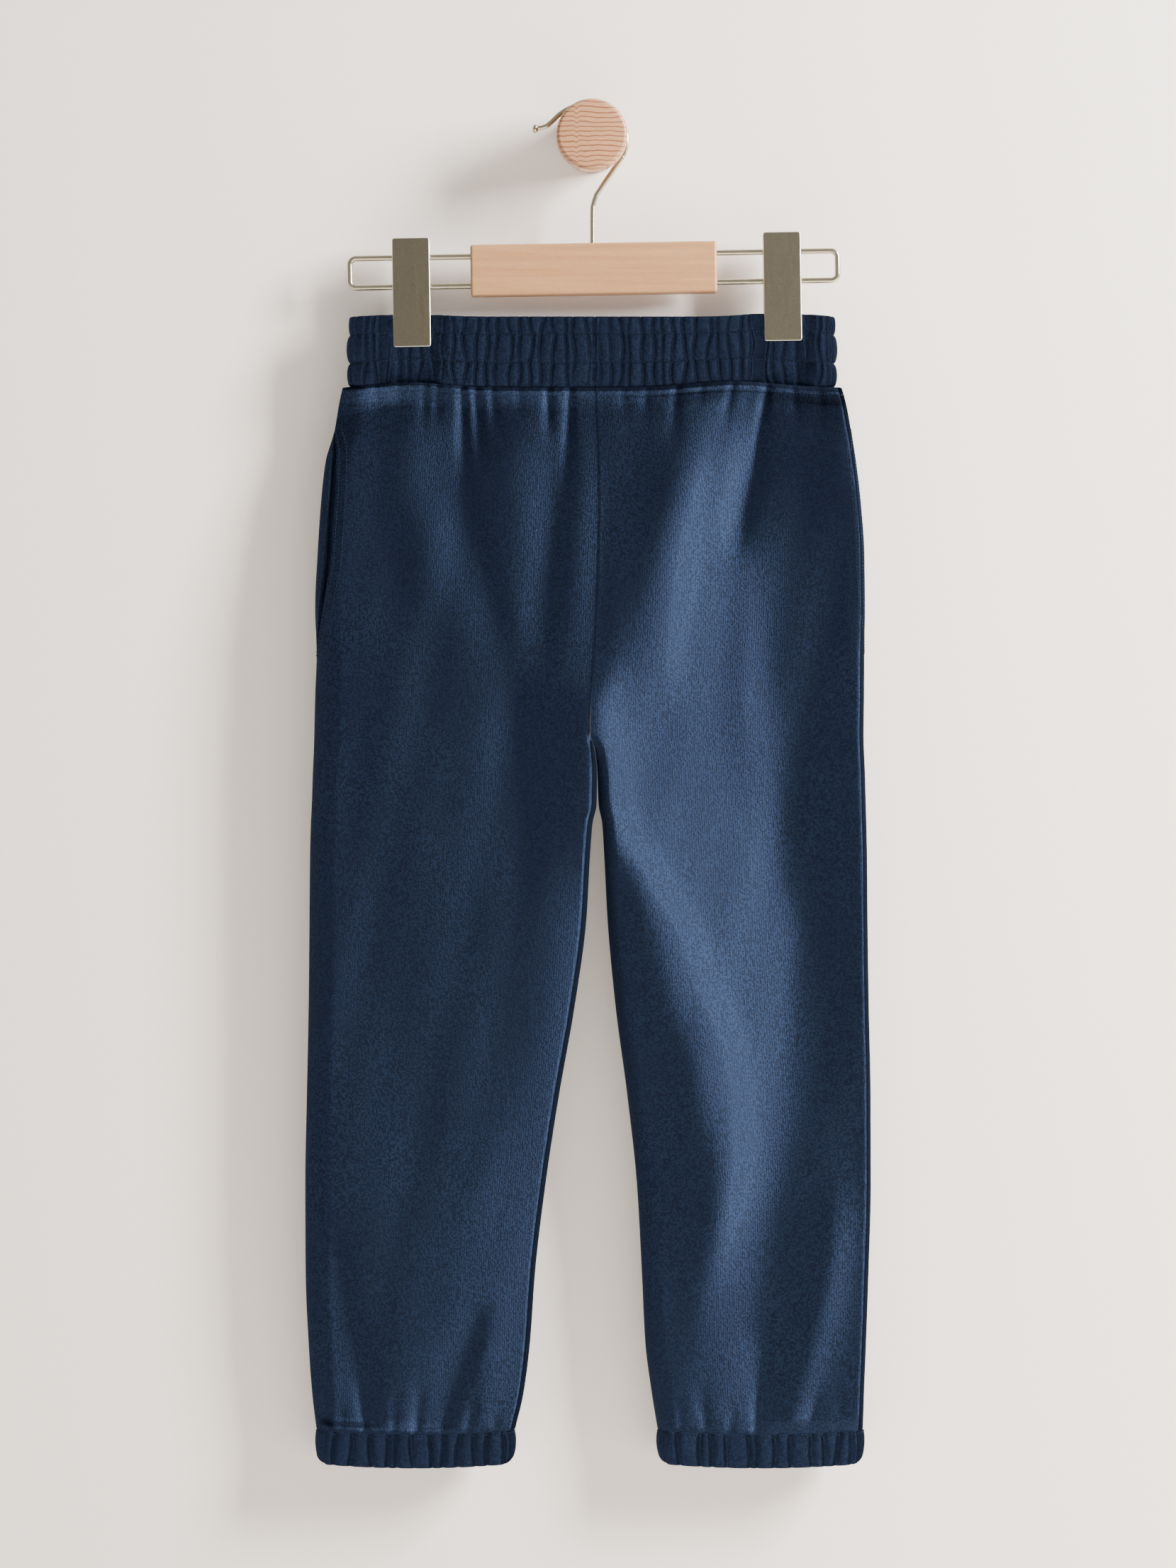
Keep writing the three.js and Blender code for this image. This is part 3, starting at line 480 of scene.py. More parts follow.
@dataclass(frozen=True)
class Pinch:
    """How the clips press the two layers of cloth together."""

    clips: tuple[float, float] = (-101.7, 107.4)
    half_width: float = 22.0
    power: int = 4
    full_to: float = -118.0
    seam: float = -140.85
    at_seam: float = 0.15
    end: float = -165.0

    def at(self, x: np.ndarray, z: np.ndarray) -> np.ndarray:
        """How strongly the cloth is pressed at each place, from 0 to 1."""
        away = np.minimum(np.abs(x - self.clips[0]), np.abs(x - self.clips[1]))
        near = np.exp(-((away / self.half_width) ** self.power))
        to_seam = lerp(1.0, self.at_seam, smooth((self.full_to - z) / (self.full_to - self.seam)))
        below = 1 - smooth((self.seam - z) / (self.seam - self.end))
        return near * to_seam * below


TOP_EDGE_RISES = (Rise(-102, 1.8, 20), Rise(105, 2.4, 22))
WAIST_SEAM_RISES = (Rise(-102, 3.0, 26), Rise(80, 3.6, 34))
PINCH = Pinch()
BAND_PINCH = Pinch(half_width=16.0, power=6)


def rise_at(rises: Sequence[Rise], x: np.ndarray) -> np.ndarray:
    """How far the clips lift an edge at each x."""
    return sum(place.height * bell(x - place.x, place.width) for place in rises)


# Meshes


def deselect() -> None:
    """Leaves nothing selected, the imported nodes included."""
    if bpy.context.object and bpy.context.object.mode != "OBJECT":
        bpy.ops.object.mode_set(mode="OBJECT")
    bpy.ops.object.select_all(action="DESELECT")


def put_in_scene(name: str, data: bpy.types.ID) -> bpy.types.Object:
    """Makes an object of a mesh, a curve, a light or a camera."""
    made = bpy.data.objects.new(name, data)
    bpy.context.scene.collection.objects.link(made)
    return made


def settle_new(name: str) -> bpy.types.Object:
    """Names the piece just added, and puts its place, turn and scale into its mesh."""
    bpy.ops.object.transform_apply(location=True, rotation=True, scale=True)
    made = bpy.context.object
    made.name = name
    return made


def pick(piece: bpy.types.Object) -> None:
    """Makes a piece the only one selected, and active."""
    deselect()
    piece.select_set(True)
    bpy.context.view_layer.objects.active = piece


def finish_with(piece: bpy.types.Object, kind: str, **settings: object) -> None:
    """Adds one modifier with its settings and applies it."""
    pick(piece)
    modifier = piece.modifiers.new(kind.title(), kind)
    for name, value in settings.items():
        setattr(modifier, name, value)
    bpy.ops.object.modifier_apply(modifier=modifier.name)


def smooth_shading(piece: bpy.types.Object, degrees: float) -> None:
    """Shades a piece smooth up to an angle between its faces."""
    pick(piece)
    bpy.ops.object.shade_smooth_by_angle(angle=math.radians(degrees))
    deselect()


class Grid(NamedTuple):
    """Rows of points in millimetres, with the cloth's own length across and down at each."""

    points: np.ndarray
    across: np.ndarray
    down: np.ndarray


def grid_mesh(name: str, grid: Grid, ring: bool, flip: bool) -> bpy.types.Object:
    """Makes a mesh of four-sided faces over a grid of points.

    Args:
        name: the piece's name.
        grid: its points; across and down have one more row and column than the points on a ring.
        ring: whether the grid closes on itself both ways.
        flip: whether the faces turn the other way.

    Returns:
        The new object, in metres.
    """
    rows, columns = grid.points.shape[:2]
    spare = 0 if ring else 1
    row, column = np.meshgrid(np.arange(rows - spare), np.arange(columns - spare), indexing="ij")
    next_row = (row + 1) % rows
    next_column = (column + 1) % columns
    corners = [(row, column), (next_row, column), (next_row, next_column), (row, next_column)]
    faces = np.stack([r * columns + c for r, c in corners], axis=-1).reshape(-1, 4)
    uv_corners = [(row, column), (row + 1, column), (row + 1, column + 1), (row, column + 1)]
    uv = np.stack(
        [np.stack([grid.across[r, c], grid.down[r, c]], axis=-1) for r, c in uv_corners], axis=-2
    ).reshape(-1, 4, 2)
    if flip:
        faces = faces[:, ::-1]
        uv = uv[:, ::-1]
    mesh = bpy.data.meshes.new(name)
    mesh.from_pydata((grid.points.reshape(-1, 3) * MM).tolist(), [], faces.tolist())
    layer = mesh.uv_layers.new(name=CLOTH_UV)
    layer.data.foreach_set("uv", (uv * MM).ravel())
    mesh.validate()
    return put_in_scene(name, mesh)


def run_length(points: np.ndarray, axis: int) -> np.ndarray:
    """The length along a grid's rows or columns from their start to each point."""
    steps = np.linalg.norm(np.diff(points, axis=axis), axis=-1)
    start = np.zeros_like(np.take(steps, [0], axis=axis))
    return np.concatenate([start, np.cumsum(steps, axis=axis)], axis=axis)


@dataclass(frozen=True)
class Seaming:
    """The thread of a sewn row: its stitches' pitch, length and radius, and how far they stand out."""

    pitch: float = 2.0
    length: float = 1.5
    radius: float = 0.3
    proud: float = 0.04
    bow: float = 0.16
    sides: int = 6
    rings: tuple[float, ...] = (-0.82, -0.35, 0.35, 0.82)

    def row(self, path: np.ndarray, outward: np.ndarray) -> tuple[np.ndarray, np.ndarray]:
        """Works out a row of stitches along a line on the cloth.

        Args:
            path: the line's points, in millimetres.
            outward: the cloth's outward direction at each.

        Returns:
            The stitches' points and their three-sided faces.
        """
        way = run_length(path, 0)
        centres = np.arange(self.pitch / 2, way[-1], self.pitch)

        def along(values: np.ndarray, places: np.ndarray) -> np.ndarray:
            """Each column of the values at these lengths along the path."""
            return np.stack([np.interp(places, way, values[:, axis]) for axis in range(3)], axis=-1)

        tangent = along(path, centres + self.length / 2) - along(path, centres - self.length / 2)
        tangent /= np.maximum(np.linalg.norm(tangent, axis=-1, keepdims=True), 1e-6)
        normal = along(outward, centres)
        normal -= tangent * np.sum(normal * tangent, axis=-1, keepdims=True)
        normal /= np.maximum(np.linalg.norm(normal, axis=-1, keepdims=True), 1e-6)
        beside = np.cross(normal, tangent)
        middle = along(path, centres) + normal * self.proud
        local = [(-1.0, 0.0, 0.0)]
        for ring in self.rings:
            round_here = self.radius * math.sqrt(1 - ring**4)
            for side in range(self.sides):
                angle = 2 * math.pi * side / self.sides
                local.append((ring, round_here * math.cos(angle), round_here * math.sin(angle)))
        local.append((1.0, 0.0, 0.0))
        template = np.array(local)
        lengths = template[:, 0] * self.length / 2
        lifts = template[:, 2] - self.bow * template[:, 0] ** 2
        points = (
            middle[:, None]
            + tangent[:, None] * lengths[None, :, None]
            + beside[:, None] * template[None, :, 1, None]
            + normal[:, None] * lifts[None, :, None]
        )
        faces = self._faces()
        offsets = np.arange(len(centres)) * len(template)
        return points.reshape(-1, 3), (faces[None] + offsets[:, None, None]).reshape(-1, 3)

    def _faces(self) -> np.ndarray:
        """The faces of one stitch, pointing outwards."""
        faces = []
        last = 1 + self.sides * len(self.rings)
        for side in range(self.sides):
            other = (side + 1) % self.sides
            faces.append((0, 1 + other, 1 + side))
            faces.append((last, last - self.sides + side, last - self.sides + other))
            for ring in range(len(self.rings) - 1):
                near = 1 + ring * self.sides
                far = near + self.sides
                faces.append((near + side, near + other, far + other))
                faces.append((near + side, far + other, far + side))
        return np.array(faces)

    def sew(self, name: str, rows: Sequence[tuple[np.ndarray, np.ndarray]]) -> bpy.types.Object:
        """Makes one piece of several sewn rows.

        Args:
            name: the piece's name.
            rows: the path and outward directions of each row.

        Returns:
            The new object, in metres.
        """
        points = []
        faces = []
        count = 0
        for path, outward in rows:
            row_points, row_faces = self.row(path, outward)
            points.append(row_points)
            faces.append(row_faces + count)
            count += len(row_points)
        mesh = bpy.data.meshes.new(name)
        mesh.from_pydata((np.concatenate(points) * MM).tolist(), [], np.concatenate(faces).tolist())
        piece = put_in_scene(name, mesh)
        smooth_shading(piece, 60)
        return piece


# Finishes


def linear(code: int) -> tuple[float, float, float, float]:
    """Turns an sRGB hex colour to linear light, with full opacity."""
    parts = [((code >> shift) & 255) / 255 for shift in (16, 8, 0)]
    light = [part / 12.92 if part <= 0.04045 else ((part + 0.055) / 1.055) ** 2.4 for part in parts]
    return (light[0], light[1], light[2], 1.0)


# Number of the mix node's sockets for colours: the two colours and the result
COLOUR_A = 6
COLOUR_B = 7
MIXED = 2


class Nodes:
    """One material's nodes round a principled shader, with short ways to add those that the finishes share."""

    def __init__(self, name: str, **sockets: object) -> None:
        """Starts the material.

        Args:
            name: the material's name.
            **sockets: values of the shader's inputs, with underscores for spaces.
        """
        self.material = bpy.data.materials.new(name)
        self.material.use_nodes = True
        self.tree = self.material.node_tree
        self.shader = self.tree.nodes["Principled BSDF"]
        for socket, value in sockets.items():
            self.shader.inputs[socket.replace("_", " ")].default_value = value

    def add(self, kind: str, inputs: dict | None = None, **settings: object) -> bpy.types.Node:
        """Adds one shader node.

        Args:
            kind: the node's type, without its common prefix.
            inputs: values or sockets by input name or number.
            **settings: the node's own properties.

        Returns:
            The new node.
        """
        made = self.tree.nodes.new("ShaderNode" + kind)
        for name, value in settings.items():
            setattr(made, name, value)
        for socket, value in (inputs or {}).items():
            if isinstance(value, bpy.types.NodeSocket):
                self.tree.links.new(value, made.inputs[socket])
            else:
                made.inputs[socket].default_value = value
        return made

    def feed(self, socket: str, value: bpy.types.NodeSocket) -> None:
        """Links a value to one of the shader's inputs."""
        self.tree.links.new(value, self.shader.inputs[socket])

    def place(self) -> bpy.types.NodeSocket:
        """The place of each point on its object."""
        return self.add("TexCoord").outputs["Object"]

    def facing(self) -> Sequence[bpy.types.NodeSocket]:
        """The x, y and z of the surface's direction."""
        return self.add("SeparateXYZ", {0: self.add("NewGeometry").outputs["Normal"]}).outputs

    def maths(self, operation: str, *values: object, clamp: bool = False) -> bpy.types.NodeSocket:
        """One sum or function of some values."""
        return self.add("Math", dict(enumerate(values)), operation=operation, use_clamp=clamp).outputs[0]

    def spread(
        self, value: bpy.types.NodeSocket, low: float, high: float, first: float, last: float,
        clamp: bool = True,
    ) -> bpy.types.NodeSocket:
        """Maps the range from low to high onto the one from first to last."""
        return self.add("MapRange", {0: value, 1: low, 2: high, 3: first, 4: last}, clamp=clamp).outputs[0]

    def noise(
        self, place: bpy.types.NodeSocket, scale: float, detail: float, roughness: float = 0.5
    ) -> bpy.types.NodeSocket:
        """Uneven specks."""
        inputs = {"Vector": place, "Scale": scale, "Detail": detail, "Roughness": roughness}
        return self.add("TexNoise", inputs).outputs[0]

    def streaks(
        self, place: bpy.types.NodeSocket, scale: tuple[float, float, float], detail: float
    ) -> bpy.types.NodeSocket:
        """Uneven specks drawn out along the axis of the least scale."""
        return self.noise(self.add("Mapping", {"Vector": place, "Scale": scale}).outputs[0], 1.0, detail)

    def blend(self, share: bpy.types.NodeSocket, first: object, second: object) -> bpy.types.NodeSocket:
        """A colour between two, each a socket or an sRGB code."""
        ends = [linear(colour) if isinstance(colour, int) else colour for colour in (first, second)]
        inputs = {0: share, COLOUR_A: ends[0], COLOUR_B: ends[1]}
        return self.add("Mix", inputs, data_type="RGBA").outputs[MIXED]

    def bump(self, strength: float, distance: float, height: bpy.types.NodeSocket) -> None:
        """Gives the surface a fine relief, its distance in millimetres."""
        inputs = {"Strength": strength, "Distance": distance * MM, "Height": height}
        self.feed("Normal", self.add("Bump", inputs).outputs[0])


@dataclass(frozen=True)
class KnittedFleece:
    """Cotton sweatshirt fleece, knitted face out: matt, with fine upright wales, heather and a soft nap.

    The key over the back panels is strong and almost level with the cloth, so cloth that turned to face
    it would glow. Turned and lifted paint shade there: they are the shares of its colour and shine
    that it keeps where it faces the right and the top. Real fleece doesn't do this.
    """

    name: str
    turned: float = 1.0
    lifted: float = 1.0
    deep: int = 0x121B2B
    face: int = 0x172136
    pale: int = 0x202E47
    wale: float = 1.25
    course: float = 1.0
    fibre: float = 1.25
    cloud: float = 60.0
    relief: float = 0.2
    sheen: float = 0.03
    gloss: float = 0.1
    shade_right_from: float = 0.13
    shade_right_to: float = 0.36
    shade_top_from: float = 0.1
    shade_top_to: float = 0.4

    def make(self) -> bpy.types.Material:
        """Builds the cloth's material."""
        nodes = Nodes(self.name, Roughness=0.92, Sheen_Roughness=0.42, Sheen_Tint=linear(0x5F80AE))
        uv = nodes.add("UVMap", uv_map=CLOTH_UV).outputs[0]
        steps = (1 / (self.wale * MM), 1 / (self.course * MM), 1.0)
        knit = nodes.add("VectorMath", {0: uv, 1: steps}, operation="MULTIPLY").outputs[0]
        across, down, _ = nodes.add("SeparateXYZ", {0: knit}).outputs
        arm = nodes.maths("PINGPONG", across, 0.5)
        turn = nodes.maths("MULTIPLY", nodes.maths("ADD", arm, down), 2 * math.pi)
        loops = nodes.maths("MULTIPLY_ADD", nodes.maths("SINE", turn), 0.2, 0.4)
        stitch = nodes.maths("MULTIPLY_ADD", arm, 1.6, loops)
        place = nodes.place()
        fibre = nodes.noise(place, 1 / (self.fibre * MM), 2.0, 0.6)
        cloud = nodes.noise(place, 1 / (self.cloud * MM), 3.0, 0.55)
        flecks = nodes.spread(fibre, 0.36, 0.64, -0.6, 1.6, clamp=False)
        faced = nodes.blend(cloud, nodes.blend(flecks, self.deep, self.pale), self.face)
        # Painted shade: the colour is a little darker in the grooves between the wales, lighter on the loops
        shade = nodes.spread(stitch, 0.2, 1.4, 0.96, 1.03)
        # Painted shade: colour, sheen and shine darken where the cloth faces the right and the top, towards
        # the keys
        facing = nodes.facing()
        right = nodes.spread(facing[0], self.shade_right_from, self.shade_right_to, 1.0, self.turned)
        top = nodes.spread(facing[2], self.shade_top_from, self.shade_top_to, 1.0, self.lifted)
        edge = nodes.maths("MULTIPLY", right, top)
        for socket, most in (("Sheen Weight", self.sheen), ("Specular IOR Level", self.gloss)):
            nodes.feed(socket, nodes.maths("MULTIPLY", edge, most))
        both = nodes.maths("MULTIPLY", shade, edge)
        knitted = nodes.add("VectorMath", {0: faced, "Scale": both}, operation="SCALE")
        nodes.feed("Base Color", knitted.outputs[0])
        wales = nodes.maths("MULTIPLY", stitch, 0.22)
        nodes.bump(0.5, self.relief, nodes.maths("MULTIPLY_ADD", fibre, 1.5, wales))
        return nodes.material


class Fleeces(NamedTuple):
    """The same fleece in three copies for the light: painted shade where the backs, waistband and hems face
    the keys, none on the fronts.
    """

    back: bpy.types.Material
    front: bpy.types.Material
    bands: bpy.types.Material


@dataclass(frozen=True)
class SewingThread:
    """Spun polyester thread, darker than the cloth and matt."""

    colour: int = 0x0E1826
    pale: int = 0x131D2D

    def make(self) -> bpy.types.Material:
        """Builds the thread's material, with the twist of its plies as fine specks."""
        nodes = Nodes("polyester_thread", Roughness=0.7, Specular_IOR_Level=0.1)
        plies = nodes.noise(nodes.place(), 2200.0, 1.0)
        nodes.feed("Base Color", nodes.blend(plies, self.colour, self.pale))
        return nodes.material


@dataclass(frozen=True)
class BarBeech:
    """Planed and satin-lacquered beech, with fine grain along the bar and short dark flecks."""

    pale: int = 0xBE9166
    dark: int = 0x98693F
    fleck: int = 0x7A5536

    def make(self) -> bpy.types.Material:
        """Builds the bar's material."""
        nodes = Nodes("satin_beech_bar", Roughness=0.48, Coat_Weight=0.15)
        place = nodes.place()
        grain = nodes.streaks(place, (14.0, 330.0, 330.0), 4.0)
        flecks = nodes.streaks(place, (260.0, 2600.0, 2600.0), 1.0)
        wood = nodes.blend(grain, self.dark, self.pale)
        nodes.feed("Base Color", nodes.blend(nodes.spread(flecks, 0.6, 0.75, 0.0, 0.45), wood, self.fleck))
        nodes.bump(0.12, 0.2, grain)
        return nodes.material


@dataclass(frozen=True)
class KnobBeech:
    """Turned beech whose face shows its rings as near level lines that dip at one upright line."""

    pale: int = 0xB88863
    dark: int = 0x7C4B30
    ring: float = 2.75
    bend_x: float = -8.6
    bend_width: float = 1.7
    dip: float = 1.0
    waver: float = 4.0

    def make(self) -> bpy.types.Material:
        """Builds the knob's material."""
        nodes = Nodes("turned_beech_knob", Roughness=0.46, Coat_Weight=0.12)
        place = nodes.place()
        x, _, z = nodes.add("SeparateXYZ", {0: place}).outputs
        away = nodes.maths("ABSOLUTE", nodes.maths("ADD", x, -self.bend_x * MM))
        dip = nodes.spread(away, 0.0, self.bend_width * MM, self.dip * MM, 0.0)
        level = nodes.maths("ADD", dip, z)
        swayed = nodes.maths("MULTIPLY_ADD", nodes.noise(place, 70.0, 2.0), self.waver * MM, level)
        wave = nodes.maths("SINE", nodes.maths("MULTIPLY", swayed, 2 * math.pi / (self.ring * MM)))
        line = nodes.spread(wave, 0.5, 1.0, 0.0, 1.0)
        pores = nodes.spread(nodes.noise(place, 1500.0, 2.0), 0.3, 0.7, 0.0, 0.3)
        both = nodes.maths("ADD", line, pores, clamp=True)
        nodes.feed("Base Color", nodes.blend(both, self.pale, self.dark))
        nodes.bump(0.15, 0.2, both)
        return nodes.material


@dataclass(frozen=True)
class PlatedWire:
    """Drawn steel wire with a bright nickel plate, slightly soft in its shine."""

    colour: int = 0xCDC6AE
    dull: int = 0xB0A88E

    def make(self) -> bpy.types.Material:
        """Builds the wire's material."""
        nodes = Nodes("nickel_plated_wire", Metallic=1.0, Roughness=0.24)
        drawn = nodes.noise(nodes.place(), 900.0, 2.0)
        nodes.feed("Base Color", nodes.blend(drawn, self.colour, self.dull))
        nodes.bump(0.06, 0.1, drawn)
        return nodes.material


@dataclass(frozen=True)
class ChampagnePlate:
    """Pressed steel with a brushed champagne plate: dull, with fine upright brush lines and a painted
    highlight as a pale colour round its edges.
    """

    colour: int = 0x8B8676
    dull: int = 0x746D5A
    painted_highlight_rim: int = 0xEFEBDD

    def make(self) -> bpy.types.Material:
        """Builds the clips' material."""
        nodes = Nodes("brushed_champagne_steel", Metallic=1.0)
        place = nodes.place()
        brush = nodes.streaks(place, (5200.0, 5200.0, 90.0), 2.0)
        grit = nodes.noise(place, 1300.0, 2.0)
        # Painted highlight: the colour turns pale where the plate faces away from front and back, on its edges
        # and bevels
        turned = nodes.spread(nodes.maths("ABSOLUTE", nodes.facing()[1]), 0.99, 0.8, 0.0, 1.0)
        nodes.feed("Base Color", nodes.blend(turned, nodes.blend(grit, self.colour, self.dull), self.painted_highlight_rim))
        nodes.feed("Roughness", nodes.spread(brush, 0.2, 0.8, 0.3, 0.44))
        nodes.bump(0.1, 0.1, nodes.maths("ADD", brush, grit))
        return nodes.material


@dataclass(frozen=True)
class PaintedPlaster:
    """A smooth matt wall or floor in pale warm paint; a wall is clear when seen from behind."""

    name: str
    colour: int
    see_through_back: bool
    glow: float = 0.0

    def make(self) -> bpy.types.Material:
        """Builds the stage's material."""
        paint = linear(self.colour)
        nodes = Nodes(
            self.name, Roughness=0.9, Base_Color=paint, Emission_Color=paint, Emission_Strength=self.glow
        )
        nodes.bump(0.03, 0.5, nodes.noise(nodes.place(), 260.0, 2.0))
        if self.see_through_back:
            behind = nodes.add("NewGeometry").outputs["Backfacing"]
            clear = nodes.add("BsdfTransparent").outputs[0]
            mixed = nodes.add("MixShader", {0: behind, 1: nodes.shader.outputs[0], 2: clear})
            nodes.tree.links.new(mixed.outputs[0], nodes.tree.nodes["Material Output"].inputs["Surface"])
        return nodes.material


# Handing a piece over


def hand_over(piece: bpy.types.Object, material: bpy.types.Material, slot: str, *nodes: str) -> None:
    """Dresses a piece, lets it ride on the body and says which nodes it stands for."""
    piece.data.materials.clear()
    piece.data.materials.append(material)
    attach(piece, BODY)
    if nodes:
        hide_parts(*nodes)
    piece.data.calc_loop_triangles()
    logger.info("%s: %d triangles", piece.name, len(piece.data.loop_triangles))


# The garment


@dataclass
class Trousers:
    """The body and legs: two back panels, two front panels and two pocket facings."""

    side_steps: int = 4
    flat_steps: int = 10
    inner_steps: int = 3
    side_columns: int = 15
    flat_columns: int = 81
    inner_columns: int = 14
    middle_rows: int = 236
    facing: float = 1.2
    least_depth: float = 3.1
    clipped_depth: float = 4.8
    waist_bottom: float = -140.85
    hem_top: float = -728.0
    lip_share: float = 0.52
    crotch_end: float = -379.0
    waist_pucker: float = 0.38
    hem_pucker: float = 0.34
    front_shift: float = 5.0
    centre_step: float = 0.2
    pocket_rows: tuple[float, float] = (1.6, 6.0)

    def __post_init__(self) -> None:
        """Draws the smooth lines through the measured sections."""
        levels = [section.z for section in SECTIONS]
        self.lines = {
            name: SmoothLine(levels, [getattr(section, name) for section in SECTIONS])
            for name in Section._fields[1:]
        }
        self.setbacks = {
            side: SmoothLine(POCKET_LEVELS, setback) for side, setback in POCKET_SETBACK.items()
        }

    def depth(self, half: Half, x: np.ndarray, z: np.ndarray) -> np.ndarray:
        """Half depth of the cloth from the middle plane, with its folds, creases and seam grooves."""
        back = half is Half.BACK
        plain = self.lines["back" if back else "front"].at(z)
        pinch = PINCH.at(x, z)
        flat = lerp(plain, self.clipped_depth, pinch)
        below = self.waist_bottom - GAP - z
        above = z - self.hem_top - GAP
        room = lerp(0.35, 1.0, smooth((self.waist_bottom - z) / 50))
        relief = sum(fold.relief(x, z) for fold in (BACK_FOLDS if back else FRONT_FOLDS)) * room
        if back:
            between = (self.lines["left_inner"].at(z) + self.lines["right_inner"].at(z)) / 2
            leans = [BACK_LEANS[side].relief(x, z) for side in (Side.LEFT, Side.RIGHT)]
            lean = np.where(x < between, leans[0], leans[1])
            relief = relief + lean * smooth(below / 12) * smooth(above / 8)
        relief = relief + wrinkles(x if back else -x, z) * smooth(below / 30) * smooth(above / 14)
        at_waist = sum(pucker.sink(x, below, 0.75) for pucker in (BACK_PUCKERS if back else FRONT_PUCKERS))
        relief = relief - self.waist_pucker * at_waist * (1 - pinch)
        shift = 0.0 if back else self.front_shift
        relief = relief - self.hem_pucker * sum(pucker.sink(x, above, 0.8, shift) for pucker in HEM_PUCKERS)
        centre = x - self.lines["left_inner"].at(z)
        seamed = smooth((z + 330) / 30)
        step = smooth((centre + 1.4) / 1.8) * np.exp(-np.maximum(centre, 0) / 28)
        crease = -self.centre_step * step if back else 0.16 * bell(centre, 0.9)
        groove = (0.25 if back else 1.6) * bell(centre, 8) * room + crease
        relief = relief - groove * seamed
        relief = relief + seam_marks(WAIST_MARKS, below) + seam_marks(HEM_MARKS, above)
        return np.maximum(self.least_depth, flat + relief)

    def crotch_turn(self, half: Half, z: np.ndarray) -> np.ndarray:
        """0 where a panel ends at the centre seam, 1 where it wraps round the inner leg."""
        start, power = CROTCH_TURNS[half]
        return np.clip((start - z) / (start - self.crotch_end), 0, 1) ** power

    def surface(self, side: Side, half: Half, column: np.ndarray, z: np.ndarray) -> np.ndarray:
        """Points of a panel's outer face.

        Args:
            side: the leg.
            half: the back or the front.
            column: place across, from 0 at the side seam; below 0 it goes on round to the other half.
            z: height before the seams' own rise and sag.

        Returns:
            The points, in millimetres.
        """
        column, z = np.broadcast_arrays(np.asarray(column, float), np.asarray(z, float))
        facing = np.where(column < 0, -half.value, half.value)
        place = np.abs(column)
        outer = self.lines[f"{side.value}_side"].at(z)
        inner = self.lines[f"{side.value}_inner"].at(z) - side.inward * GAP / 2
        width = np.abs(inner - outer)
        side_round = SIDE_ROUND[side]
        inner_round = lerp(*INNER_ROUND[side], smooth((self.crotch_end - z) / 300))
        turn = self.crotch_turn(half, z)
        angle = np.radians(90 * place / self.side_steps)
        flat_share = (place - self.side_steps) / self.flat_steps
        way = np.clip((place - self.side_steps - self.flat_steps) / self.inner_steps, 0, 1)
        bend = np.radians(90 * way)
        on_side = place < self.side_steps
        on_flat = place <= self.side_steps + self.flat_steps
        across = np.where(
            on_side,
            side_round * (1 - np.cos(angle)),
            np.where(
                on_flat,
                lerp(side_round, width - inner_round, flat_share),
                width - inner_round * lerp(1 - way, 1 - np.sin(bend), turn),
            ),
        )
        share = np.where(on_side, np.sin(angle), np.where(on_flat, 1.0, np.cos(bend * turn)))
        x = outer + side.inward * across
        depth = np.where(facing < 0, self.depth(Half.BACK, x, z), self.depth(Half.FRONT, x, z))
        tuck = 0.5 * bell(place, 0.22) * (self.setbacks[side].at(z) < 0.05)
        y = GARMENT_Y + facing * (GAP / 2 + depth * share)
        return self.follow_seams(side, np.stack([x + side.inward * tuck, y, z], axis=-1))

    def follow_seams(self, side: Side, points: np.ndarray) -> np.ndarray:
        """Moves the cloth with the waist seam's rises and the hem's sag."""
        x = points[..., 0]
        z = points[..., 2]
        at_waist = 1 - smooth((self.waist_bottom - z) / 40)
        at_hem = smooth((self.hem_top + 45 - z) / 45)
        shift = rise_at(WAIST_SEAM_RISES, x) * at_waist - HEMS[side].sag_at(x) * at_hem
        points[..., 2] = z + shift
        return points

    def outward(self, side: Side, half: Half, column: np.ndarray, z: np.ndarray) -> np.ndarray:
        """The cloth's outward direction at each place of a panel."""
        step = 0.04
        across = self.surface(side, half, column + step, z) - self.surface(side, half, column - step, z)
        up = self.surface(side, half, column, z + 0.4) - self.surface(side, half, column, z - 0.4)
        normal = np.cross(across, up)
        normal /= np.linalg.norm(normal, axis=-1, keepdims=True)
        return normal * (-half.value if side is Side.LEFT else half.value)

    def edge_column(self, side: Side, half: Half, z: np.ndarray) -> np.ndarray:
        """The column of a panel's side edge, set back or lapped over in the pocket's mouth."""
        setback = self.setbacks[side].at(z)
        shown = setback if half is Half.BACK else setback * self.lip_share
        column = np.arccos(1 - shown / SIDE_ROUND[side]) / (math.pi / 2) * self.side_steps
        return column if half is Half.BACK else -column

    def levels(self) -> np.ndarray:
        """Heights of a panel's rows, closest at its seams."""
        top = self.waist_bottom - GAP
        bottom = SECTIONS[-1].z
        return np.concatenate([
            np.arange(top, top - 16, -0.8),
            np.linspace(top - 16, bottom + 12, self.middle_rows)[:-1],
            np.linspace(bottom + 12, bottom, 12),
        ])

